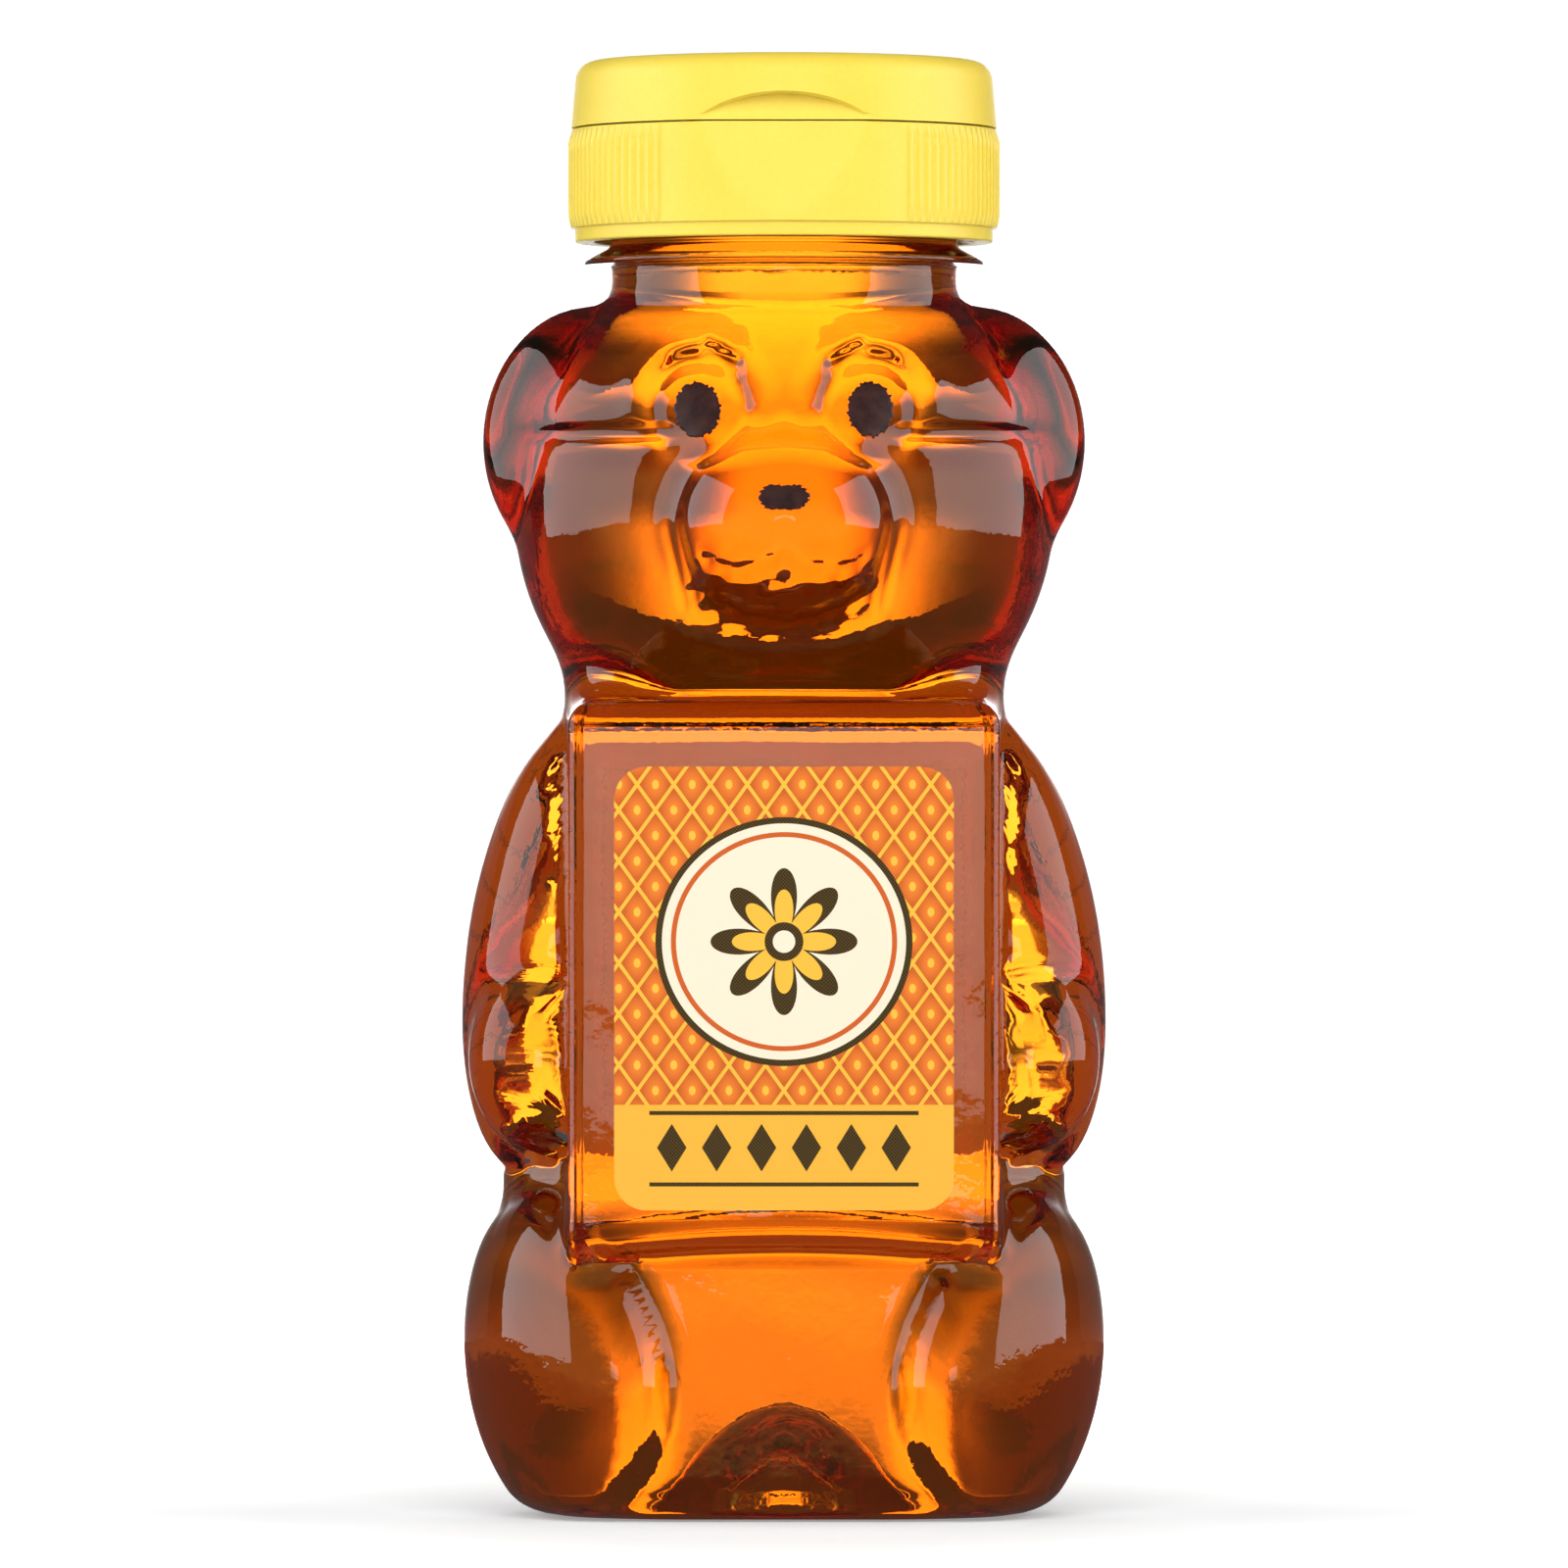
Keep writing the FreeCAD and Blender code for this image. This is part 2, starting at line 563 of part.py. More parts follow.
for side, turn, reverse in (("plus", "rib_first - 90", False), ("minus", "-rib_first - 90", True)):
    rib = box(
        cap_body,
        "Additive",
        f"rib_{side}",
        ("0", "rib_out + cap_wall / 2"),
        ("0", "rib_w"),
        (f"{skirt_low} + rim_h", f"{parting} - rib_top"),
    )
    rib.Placement.Rotation = FreeCAD.Rotation(FreeCAD.Vector(0, 0, 1), 1)
    bind(rib, Placement__Rotation__Angle=turn)
    place(
        rib,
        f"(cap_r - cap_wall / 2) * cos(({turn}) * 1 deg)",
        f"(cap_r - cap_wall / 2) * sin(({turn}) * 1 deg)",
        f"{skirt_low} + rim_h",
    )
    doc.recompute()
    ribs = cap_body.newObject("PartDesign::PolarPattern", f"ribs_{side}")
    ribs.Originals = [rib]
    ribs.Axis = (next(f for f in cap_body.Origin.OriginFeatures if f.Role == "Z_Axis"), [""])
    ribs.Reversed = reverse
    bind(ribs, Angle="rib_sweep", Occurrences="rib_count")
    cap_body.Tip = ribs
    doc.recompute()
cap_base = cut("cap_base", cap_body, scoop)

# Lid: a turned cover, hollow behind a flat front, with a collar that closes round the spout.
lid_low = f"{parting} + lid_gap"
lid_top = f"{parting} + lid_gap + lid_h"
lid_r = "cap_r - lid_draft"
lid_body = doc.addObject("PartDesign::Body", "lid_body")
turned(
    lid_body,
    "lid_turned",
    [
        ("0", lid_low),
        ("cap_r", lid_low),
        (lid_r, f"{lid_top} - lid_edge_r", "lid_edge_r"),
        (f"{lid_r} - lid_edge_r", lid_top),
        ("0", lid_top),
    ],
)
hollow_r = "cap_r - lid_wall"
flat = "skirt_r + chord_y"
half_flat = f"sqrt(({hollow_r}) ^ 2 - ({flat}) ^ 2)"
hollow = lid_body.newObject("PartDesign::Pocket", "lid_hollow")
hollow.Profile = sketch_on(
    lid_body,
    "lid_hollow_outline",
    "XY_Plane",
    [
        (f"-{half_flat}", f"-({flat})"),
        (half_flat, f"-({flat})", hollow_r),
        ("0", hollow_r, hollow_r),
    ],
    lid_low,
)
hollow.Reversed = True
bind(hollow, Length="lid_h - lid_roof")
collar_low = f"{parting} + spout_h - collar_reach"
collar_r = "spout_tip_r + (spout_r - spout_tip_r) * collar_reach / spout_h + collar_gap"
collar_top = f"{lid_top} - lid_roof / 2"
turned(
    lid_body,
    "lid_collar",
    [
        (collar_r, collar_low),
        (f"{collar_r} + collar_t", collar_low),
        (f"{collar_r} + collar_t", collar_top),
        (collar_r, collar_top),
    ],
)
box(
    lid_body,
    "Subtractive",
    "lid_web_seat",
    (f"-({web_side})", web_side),
    (seat_y, "cap_r + web_set"),
    (parting, f"{lid_low} + web_h + web_gap"),
)
lid = cut("lid", lid_body, scoop)

# Living hinge: a thin strip across the parting line at the back.
hinge_web = doc.addObject("PartDesign::Body", "hinge_web")
box(
    hinge_web,
    "Additive",
    "web_strip",
    ("-web_w / 2", "web_w / 2"),
    (seat_y, f"{seat_y} + web_t"),
    (f"{parting} - web_h", f"{lid_low} + web_h"),
)

pieces = [bottle, honey, *labels, *prints, inner_seal, cap_liner, cap_base, lid, hinge_web]
for piece in pieces:
    bind(piece, Placement__Base__y="axis_y")
doc.recompute()
for thing in doc.Objects:
    if "Invalid" in thing.State or "Error" in thing.State:
        raise RuntimeError(f"{thing.Name} did not compute")
os.makedirs("parts", exist_ok=True)
for piece in pieces:
    shape = piece.Shape
    if shape.isNull() or not shape.isValid():
        raise RuntimeError(f"{piece.Name} has no sound shape")
    piece.Label = piece.Name
    shape.exportStep(f"parts/{piece.Name}.step")
    print(piece.Name, len(shape.Solids), "solid", len(shape.Faces), "faces", round(shape.Volume, 1), "mm3")
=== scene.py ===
import math

import bpy
import numpy as np
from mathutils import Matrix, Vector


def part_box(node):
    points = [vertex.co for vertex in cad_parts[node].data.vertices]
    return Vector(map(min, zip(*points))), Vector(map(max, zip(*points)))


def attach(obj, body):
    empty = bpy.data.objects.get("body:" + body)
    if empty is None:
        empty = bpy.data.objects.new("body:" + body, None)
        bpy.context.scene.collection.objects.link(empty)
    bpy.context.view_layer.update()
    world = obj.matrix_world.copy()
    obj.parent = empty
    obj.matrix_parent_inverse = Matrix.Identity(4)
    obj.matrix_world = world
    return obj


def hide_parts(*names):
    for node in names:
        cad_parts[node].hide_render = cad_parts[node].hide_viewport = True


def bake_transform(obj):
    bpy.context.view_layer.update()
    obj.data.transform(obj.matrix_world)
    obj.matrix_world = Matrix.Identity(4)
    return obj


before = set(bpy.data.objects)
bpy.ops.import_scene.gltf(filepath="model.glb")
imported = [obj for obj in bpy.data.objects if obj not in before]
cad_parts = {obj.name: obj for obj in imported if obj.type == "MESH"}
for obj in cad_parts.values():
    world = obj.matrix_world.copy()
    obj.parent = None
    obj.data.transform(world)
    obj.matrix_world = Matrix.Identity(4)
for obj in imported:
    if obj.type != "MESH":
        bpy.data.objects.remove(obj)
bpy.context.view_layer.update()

# Bottle: a clear bear blown from one tube of plastic, so every lobe runs into the next with a soft crease.
# The neck above the head is moulded first, with its carrying ring and thread, and has a thicker wall.
# Sizes are in millimetres, heights above the table, and depths from the neck's axis, forward being negative.
MM = 0.001
seal_low, seal_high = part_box("inner_seal")
front_low, front_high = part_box("front_label")
back_low, back_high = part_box("back_label")
axis_y = (seal_low.y + seal_high.y) / 2 / MM
panel_front = axis_y - front_high.y / MM
panel_back = back_low.y / MM - axis_y
lip_z = seal_low.z / MM

wall, wall_ripple = 0.6, 0.03
foot_round = 2.6
dome_h, dome_half_w, dome_half_d = 10.5, 12.5, 12.0
seat_half_w, seat_front, seat_back = 23.0, 20.5, 21.0
seat_corner_r, seat_top, seat_round, seat_crease = 13.0, 34.0, 4.0, 1.6
panel_half_w, panel_low, shoulder_z = 21.2, 25.5, 80.5
panel_edge_r, panel_rim_r, panel_arch = 1.2, 2.4, 1.4
cheek_r, cheek_z = 27.0, 100.0
brow_r, brow_beyond = 30.0, 3.0
crown_z, crown_round, head_squeeze = 120.5, 5.0, 46.0 / 54.0
chin_crease, jaw_crease = 2.6, 8.0
eye_x, eye_z = 8.5, 109.2
snout_z = 98.0
neck_r, bore_r, neck_foot, neck_start, neck_crease = 17.3, 15.6, 108.0, 121.8, 2.4
ring_z = lip_z - 11.0
thread_pitch, thread_h = 4.233, 1.2

# A lobe is its centre, its half sizes and its lean in degrees. Lobes to the side are mirrored.
belly = ((0.0, 0.0, 33.0), (28.0, 20.0, 22.0), 0.0)
leg = ((19.5, -4.5, 14.5), (12.2, 22.5, 19.0), 11.0)
thigh = ((12.0, 8.0, 14.5), (23.4, 34.0, 70.0), 0.0)
arm = ((23.0, -4.0, 56.3), (8.5, 12.5, 22.6), -8.3)
paw = ((24.2, -12.0, 45.5), (7.0, 8.5, 9.5), 0.0)
ear = ((19.0, -1.0, 106.5), (11.0, 9.0, 13.5), 0.0)
snout = ((0.0, -20.0, snout_z + 0.4), (10.8, 9.5, 9.4), 0.0)
limbs_and_creases = ((belly, 2.0), (leg, 2.0), (arm, 0.7), (paw, 1.2))
thigh_round, ear_edge, ear_crease, snout_crease = 3.5, 1.0, 1.0, 2.6
ear_face_at, ear_face_way = (23.4, -9.3, 108.0), (0.69, -0.70, 0.18)


def soft_min(a, b, width):
    """The smaller of two gaps, lowered by a parabola where they differ by less than the width."""
    near = np.maximum(width - np.abs(a - b), 0.0) / width
    return np.minimum(a, b) - near * near * width / 4


def soft_max(a, b, width):
    """The larger of two gaps, raised by a parabola where they differ by less than the width."""
    return -soft_min(-a, -b, width)


def bell(distance, width):
    """A bell curve: 1 at no distance, falling to 1/e at the width."""
    return np.exp(-((distance / width) ** 2))


def ramp(value, start, end):
    """0 before the start, 1 after the end, smooth between."""
    t = np.clip((value - start) / (end - start), 0.0, 1.0)
    return t * t * (3 - 2 * t)


def lobe_gap(x, y, z, lobe):
    """Nearly the distance to an ellipsoid that leans about Y: k (k - 1) / g, where k is the length of the
    point in units of the half sizes and g the length of the point over their squares."""
    (cx, cy, cz), (rx, ry, rz), lean = lobe
    turn = math.radians(lean)
    u = math.cos(turn) * (x - cx) - math.sin(turn) * (z - cz)
    w = math.sin(turn) * (x - cx) + math.cos(turn) * (z - cz)
    v = y - cy
    k = np.sqrt((u / rx) ** 2 + (v / ry) ** 2 + (w / rz) ** 2)
    g = np.sqrt((u / rx**2) ** 2 + (v / ry**2) ** 2 + (w / rz**2) ** 2)
    return k * (k - 1) / np.maximum(g, 1e-9)


def rounded_meet(a, b, rounding):
    """The gap to what two forms share, whose meeting edge is rounded: the length of how far a point is past
    both forms drawn in by the rounding, less the rounding."""
    past_a, past_b = a + rounding, b + rounding
    outside = np.hypot(np.maximum(past_a, 0.0), np.maximum(past_b, 0.0))
    return outside + np.minimum(np.maximum(past_a, past_b), 0.0) - rounding


def plan_gap(x, y, half_w, front, back, rounding):
    """The gap, seen from above, to a rectangle with rounded corners."""
    beside = np.abs(x) - half_w
    beyond = np.abs(y - (back - front) / 2) - (front + back) / 2
    return rounded_meet(beside, beyond, rounding)


def line_gap(x, z, start, end):
    """Distance, seen from the front, to a straight stroke between two places (across, up)."""
    along = np.array(end) - np.array(start)
    share = ((x - start[0]) * along[0] + (z - start[1]) * along[1]) / (along @ along)
    share = np.clip(share, 0.0, 1.0)
    return np.hypot(x - start[0] - share * along[0], z - start[1] - share * along[1])


def face_relief(x, y, z):
    """Depth of the face's folds, negative where they swell: each is its depth times a bell curve of the
    distance to its line, faded out where the fold ends. The cheek's crease is sharper, an exponential, and
    the chin has small sine waves. All fade towards the sides of the head."""
    side = np.abs(x)
    from_eye = np.hypot(side - eye_x, (z - eye_z) * 0.92)
    above_eye = ramp(z, eye_z - 3.0, eye_z + 1.0)
    eye_ring = 0.42 * bell(from_eye - 4.4, 0.7) * (0.35 + 0.65 * above_eye)
    eyeball = -0.45 * bell(from_eye, 2.9)
    brow_swell = -0.5 * bell(from_eye - 6.6, 1.2) * above_eye
    brow_line = 0.5 * bell(line_gap(side, z, (4.6, 113.7), (7.4, 115.4)), 0.7)
    cheek_crease = 0.9 * np.exp(-np.abs(z - 107.0) / 0.8) * ramp(side, 8.0, 13.0)
    temple_swell = -0.4 * bell(z - 110.5, 2.6) * ramp(side, 9.0, 14.0)
    mouth_z = 93.2 + 2.4 * np.exp(-side / 1.6) + 0.09 * np.maximum(side - 4.0, 0.0) ** 2
    mouth = 0.3 * bell(z - mouth_z, 0.5) * ramp(side, 8.8, 7.2)
    upright_fold = 0.12 * bell(x, 0.6) * ramp(z, 94.6, 95.4) * ramp(z, 98.6, 97.4)
    inner_jowl = 0.22 * bell(line_gap(side, z, (8.6, 89.5), (10.2, 97.0)), 0.5)
    outer_jowl = 0.22 * bell(line_gap(side, z, (9.8, 90.0), (11.4, 97.5)), 0.5)
    waves = np.sin(1.9 * x + 1.2 * z) * np.sin(2.3 * z - 0.8 * x + 0.7) + np.sin(1.1 * x - 2.7 * z)
    chin_waves = 0.07 * waves * bell(z - 91.5, 3.5) * ramp(side, 11.0, 8.0)
    eyes = eye_ring + eyeball + brow_swell + brow_line
    cheeks = cheek_crease + temple_swell + inner_jowl + outer_jowl
    return (eyes + cheeks + mouth + upright_fold + chin_waves) * ramp(-y, 4.0, 12.0)


def paw_grooves(side, y, z):
    """Depth of the grooves between the fingers of a paw: a cosine wave up the front of the paw, cubed."""
    lowest, pitch, depth = 37.0, 4.4, 0.2
    beat = 0.5 + 0.5 * np.cos((z - lowest) * 2 * math.pi / pitch)
    where = ramp(z, 35.5, 37.5) * ramp(z, 54.0, 51.5) * ramp(-y, 8.0, 14.0) * ramp(side, 28.5, 26.0)
    return depth * beat**3 * where


def bear_gap(x, y, z):
    """The gap to the closed bear without its neck: the smallest gap to its blocks and lobes, with soft
    creases, plus the grooves of the paws, the folds of the face and a slight waviness of the blown wall."""
    side = np.abs(x)
    arch = panel_arch * (1 - (x / panel_half_w) ** 2) * ramp(z, 42.0, 30.0)
    panel = plan_gap(x, y, panel_half_w, panel_front, panel_back, panel_edge_r)
    panel_ends = np.maximum(z - shoulder_z, panel_low + arch - z)
    gap = rounded_meet(panel, panel_ends, panel_rim_r)
    seat = plan_gap(x, y, seat_half_w, seat_front, seat_back, seat_corner_r)
    gap = soft_min(gap, soft_max(seat, z - seat_top, seat_round), seat_crease)
    grooves = paw_grooves(side, y, z)
    for limb, crease in limbs_and_creases:
        limb_gap = lobe_gap(side, y, z, limb) + grooves
        if limb is leg:
            limb_gap = soft_max(limb_gap, lobe_gap(side, y, z, thigh), thigh_round)
        gap = soft_min(gap, limb_gap, crease)
    ring = np.hypot(x, y / head_squeeze)
    cheeks = np.hypot(ring, z - cheek_z) - cheek_r
    brow = np.hypot(ring + brow_beyond, z - cheek_z) - brow_r
    head = soft_max(np.where(z < cheek_z, cheeks, brow), z - crown_z, crown_round)
    ear_face = sum(way * (value - at) for way, value, at in zip(ear_face_way, (side, y, z), ear_face_at))
    head = soft_min(head, soft_max(lobe_gap(side, y, z, ear), ear_face, ear_edge), ear_crease)
    head = soft_min(head, lobe_gap(x, y, z, snout), snout_crease)
    head_crease = chin_crease + (jaw_crease - chin_crease) * ramp(side, 10.0, 19.0)
    gap = soft_min(gap, head + face_relief(x, y, z), head_crease)
    ripple = np.sin(0.31 * x + 0.23 * z) * np.sin(0.27 * y - 0.19 * z + 1.3)
    return gap + wall_ripple * ripple


def under_base(x, y):
    """Height of the hollow under the base: a dome on an oval, with a parabola for its outline."""
    return dome_h * np.maximum(1 - (x / dome_half_w) ** 2 - (y / dome_half_d) ** 2, 0.0)


def shell_gap(x, y, z, inset, tube_r):
    """The gap to the bear drawn in by an inset, with a tube of given radius for its neck, standing on
    the table with a rounded foot."""
    tube = np.maximum(np.hypot(x, y) - tube_r, neck_foot - z)
    gap = soft_min(bear_gap(x, y, z) + inset, tube, neck_crease)
    return soft_max(gap, inset - z, foot_round)


def halved(inside, outside, is_solid):
    """Where a surface lies between places inside and outside it, found by halving again and again."""
    for _ in range(24):
        middle = (inside + outside) / 2
        solid = is_solid(middle)
        inside = np.where(solid, middle, inside)
        outside = np.where(solid, outside, middle)
    return (inside + outside) / 2


def reach_out(inset, tube_r, angle, height):
    """Distance from the neck's axis to the shell, at angles from the front and heights."""
    def is_solid(reach):
        return shell_gap(reach * np.sin(angle), -reach * np.cos(angle), height, inset, tube_r) < 0

    return halved(np.full(angle.shape, 0.5), np.full(angle.shape, 45.0), is_solid)


def spread(places, weights, count):
    """Values from the first place to the last, as close together as the weights at the places ask."""
    fine = np.linspace(places[0], places[-1], 4000)
    share = np.cumsum(np.interp(fine, places, weights))
    return np.interp(np.linspace(share[0], share[-1], count), share, fine)


def around(count, weights=(1.0, 1.0)):
    """Angles from the front, all the way round and as close together as the weights from the back to the
    front and on to the back ask."""
    places = np.linspace(-180.0, 180.0, 2 * len(weights) - 1)
    both_sides = tuple(weights) + tuple(weights[-2::-1])
    return np.radians(spread(places, both_sides, count + 1)[:-1])


def in_frame(radius, angle, height):
    """Points in metres in the shared frame, from distances to the neck's axis, angles from the front and
    heights in millimetres."""
    x = radius * np.sin(angle)
    y = axis_y - radius * np.cos(angle)
    return np.stack(np.broadcast_arrays(x, y, height), axis=-1) * MM


def all_round(profile, angle):
    """The radii and the heights of a profile, each repeated at every angle."""
    return np.repeat(np.array(profile).T[:, :, None], len(angle), axis=2)


def add_object(name, data):
    """A new object in the scene, from a mesh, a lamp or a lens."""
    made = bpy.data.objects.new(name, data)
    bpy.context.scene.collection.objects.link(made)
    return made


def grid_piece(name, points, material, body, node_name, sharp=None, ring=False):
    """A piece from a grid of points whose rows follow a profile and whose columns go once round. Quads join
    the rows. A ring joins its last row to its first, and a middle point closes each end of any other piece.
    It is shaded smoothly, save at edges over the sharp angle, and rides its body, if any, in place of a
    solid."""
    rows, columns = points.shape[:2]
    index = np.arange(rows * columns).reshape(rows, columns)
    if ring:
        index = np.concatenate([index, index[:1]])
    beside = np.roll(index, -1, axis=1)
    faces = np.stack([index[:-1], beside[:-1], beside[1:], index[1:]], axis=-1).reshape(-1, 4).tolist()
    vertices = points.reshape(-1, 3)
    if not ring:
        vertices = np.concatenate([vertices, [points[0].mean(axis=0), points[-1].mean(axis=0)]])
        first, last = np.full(columns, rows * columns), np.full(columns, rows * columns + 1)
        faces += np.stack([first, beside[0], index[0]], axis=-1).tolist()
        faces += np.stack([last, index[-1], beside[-1]], axis=-1).tolist()
    mesh = bpy.data.meshes.new(name)
    mesh.from_pydata(vertices.tolist(), [], faces)
    mesh.polygons.foreach_set("use_smooth", np.ones(len(mesh.polygons), dtype=bool))
    if sharp is not None:
        mesh.set_sharp_from_angle(angle=math.radians(sharp))
    mesh.materials.append(material)
    piece = add_object(name, mesh)
    if body:
        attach(piece, body)
    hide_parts(node_name)
    return piece


def node(tree, kind, inputs=None, **settings):
    """Adds a shader node. Settings are the node's own properties, and an input is a value or a socket."""
    made = tree.nodes.new("ShaderNode" + kind)
    for name, value in settings.items():
        setattr(made, name, value)
    for name, value in (inputs or {}).items():
        if isinstance(value, bpy.types.NodeSocket):
            tree.links.new(value, made.inputs[name])
        else:
            made.inputs[name].default_value = value
    return made


def new_material(name):
    """A material with no nodes, and its tree."""
    material = bpy.data.materials.new(name)
    material.use_nodes = True
    material.node_tree.nodes.clear()
    return material, material.node_tree


def graded(tree, value, start, end, low=0.0, high=1.0):
    """A socket that runs evenly from low to high while the value runs from start to end."""
    inputs = {"Value": value, "From Min": start, "From Max": end, "To Min": low, "To Max": high}
    return node(tree, "MapRange", inputs).outputs["Result"]


def over(tree, below, mask, colour):
    """Lays a colour over another as far as the mask says."""
    inputs = {"Factor": mask, "A": below, "B": colour}
    return node(tree, "Mix", inputs, data_type="RGBA").outputs[2]


def unevenness_group():
    """A node group for small uneven changes over a surface: a value from 0 to 1 out of a coarse and a fine
    noise on Object coordinates, and the same value between two limits."""
    group = bpy.data.node_groups.new("Unevenness", "ShaderNodeTree")
    for name, value in (("Coarse", 100.0), ("Fine", 1500.0), ("Low", 0.0), ("High", 1.0)):
        socket = group.interface.new_socket(name, in_out="INPUT", socket_type="NodeSocketFloat")
        socket.default_value = value
    for name in ("Share", "Value"):
        group.interface.new_socket(name, in_out="OUTPUT", socket_type="NodeSocketFloat")
    given = group.nodes.new("NodeGroupInput").outputs
    where = node(group, "TexCoord").outputs["Object"]
    noises = [
        node(group, "TexNoise", {"Vector": where, "Scale": given[name], "Detail": 3.0})
        for name in ("Coarse", "Fine")
    ]
    coarse, fine = (noise.outputs["Fac"] for noise in noises)
    mixed = node(group, "Mix", {"Factor": 0.4, "A": coarse, "B": fine}).outputs["Result"]
    share = graded(group, mixed, 0.3, 0.7)
    value = graded(group, share, 0.0, 1.0, given["Low"], given["High"])
    results = group.nodes.new("NodeGroupOutput").inputs
    group.links.new(share, results["Share"])
    group.links.new(value, results["Value"])
    return group


unevenness = unevenness_group()


def uneven(tree, coarse, fine, low=0.0, high=1.0):
    """The outputs of the group of uneven changes, with the scales of its noises and its limits."""
    inputs = {"Coarse": coarse, "Fine": fine, "Low": low, "High": high}
    return node(tree, "Group", inputs, node_tree=unevenness).outputs


def relief_of(tree, height, strength, distance):
    """A normal from a height, as deep as the distance in metres times the strength."""
    inputs = {"Height": height, "Strength": strength, "Distance": distance}
    return node(tree, "Bump", inputs).outputs["Normal"]


def uneven_material(name, noise, roughness, colours, relief, relief_noise=None, plain=None):
    """A material on one noise of a coarse and a fine scale: its colour mixes two colours, and its roughness
    runs between two limits. Its relief follows that noise, or a second one. Plain values are the same all
    over and are set on the shader."""
    material, tree = new_material(name)
    changes = uneven(tree, *noise, *roughness)
    heights = uneven(tree, *relief_noise) if relief_noise else changes
    inputs = {
        "Base Color": over(tree, colours[0], changes["Share"], colours[1]),
        "Roughness": changes["Value"],
        "Normal": relief_of(tree, heights["Share"], *relief),
    }
    shader = node(tree, "BsdfPrincipled", inputs | (plain or {}))
    node(tree, "OutputMaterial", {"Surface": shader.outputs["BSDF"]})
    return material


def thread_crest(angle, height, start_z, last_turn):
    """Height of a thread over its wall: a trapezium of the distance from a helix, which starts at the right
    and climbs by the pitch in a turn. The thread rises where it starts and sinks at its last turn."""
    half_w, flank, run_in = 1.1, 0.5, 0.15
    turn = np.mod(angle - math.pi / 2, 2 * math.pi)
    off_helix = np.abs(height - start_z - thread_pitch * turn / (2 * math.pi))
    crest = np.clip((half_w - off_helix) / flank, 0.0, 1.0)
    return thread_h * crest * ramp(turn, 0.0, run_in) * ramp(turn, last_turn, last_turn - run_in)


def neck_outside(angle):
    """Rows of the neck from the head up to the lip: the carrying ring, as far as it stands out at heights
    from its underside, then the wall with its thread."""
    ring_out, ring_up = np.array([
        (0.0, -1.8), (0.0, -1.0), (0.0, -0.3), (0.06, -0.1), (0.3, 0.0), (2.45, 0.0), (2.65, 0.1), (2.7, 0.3),
        (2.65, 0.52), (2.45, 0.66), (0.5, 1.55), (0.15, 1.8), (0.0, 2.1),
    ]).T
    row_step = 0.35
    wall_z = np.arange(ring_z + 2.4, lip_z - 0.5, row_step)
    height = np.concatenate([ring_z + ring_up, wall_z])
    radius = neck_r + np.concatenate([ring_out, np.zeros(len(wall_z))])
    rows_r, rows_z = all_round(np.stack([radius, height], axis=1), angle)
    return rows_r + thread_crest(angle, rows_z, start_z=lip_z - 5.7, last_turn=6.28), rows_z


def shell_rows(inset, tube_r, angle, top, count, base_count):
    """Rows of the shell from its foot to a height, and the rows of its base inside the foot, which shrink
    towards the middle over the hollow. Rows lie closer together where the shape bends more."""
    places = np.array((0.03, 3.0, 8.0, 24.0, 26.0, 34.0, 40.0, 76.0, 79.0, 83.0, 88.0, 116.0, 121.8))
    weights = (5.0, 3.0, 1.4, 1.4, 2.2, 1.4, 1.0, 1.0, 4.0, 4.0, 1.8, 1.8, 3.5)
    places[0] += inset
    places[-1] = top
    height = np.repeat(spread(places, weights, count)[:, None], len(angle), axis=1)
    radius = reach_out(inset, tube_r, np.broadcast_to(angle, height.shape), height)
    shrink_places, shrink_weights = (0.03, 0.3, 0.4, 0.6, 0.7, 0.985), (1.0, 1.0, 3.0, 3.0, 1.0, 0.6)
    base_r = radius[0] * spread(shrink_places, shrink_weights, base_count)[:, None]
    base_z = under_base(base_r * np.sin(angle), -base_r * np.cos(angle)) + inset
    return np.concatenate([base_r, radius]), np.concatenate([base_z, height])


bottle_angles = around(310, (0.7, 0.9, 1.0, 1.5, 2.0))
outer_r, outer_z = shell_rows(0.0, neck_r, bottle_angles, neck_start, count=186, base_count=16)
neck_rows_r, neck_rows_z = neck_outside(bottle_angles)
lip_profile = [
    (neck_r - 0.05, lip_z - 0.25), (neck_r - 0.3, lip_z), (bore_r + 0.3, lip_z),
    (bore_r + 0.05, lip_z - 0.25), (bore_r, lip_z - 5.0), (bore_r, ring_z),
]
lip_r, lip_rows_z = all_round(lip_profile, bottle_angles)
inner_top = neck_start - 0.8
inner_r, inner_z = shell_rows(wall, bore_r, bottle_angles, inner_top, count=62, base_count=12)
bottle_r = np.concatenate([outer_r, neck_rows_r, lip_r, inner_r[::-1]])
bottle_z = np.concatenate([outer_z, neck_rows_z, lip_rows_z, inner_z[::-1]])
bottle_points = in_frame(bottle_r, bottle_angles, bottle_z)
# The plastic has a faint warm tint, small flow waves from blowing, and light scuffs that change its gloss.
plastic = uneven_material(
    "clear_plastic",
    noise=(90.0, 2200.0),
    roughness=(-0.05, 0.03),
    colours=((1.0, 0.985, 0.95, 1.0), (0.985, 0.96, 0.91, 1.0)),
    relief=(0.05, 0.0004),
    relief_noise=(60.0, 420.0),
    plain={"IOR": 1.57, "Transmission Weight": 1.0},
)
grid_piece("bottle_shell", bottle_points, plastic, "bottle", "bottle")

# Honey: a thick amber liquid that fills the bottle up into the neck and wets its wall all over.
# Its surface lies half way into the plastic wall, so that light bends once where the two meet.
# The free top is level, with a rim that climbs the wall a little.
honey_top = lip_z - 5.0
honey_inset = wall / 2
honey_neck_r = bore_r + honey_inset

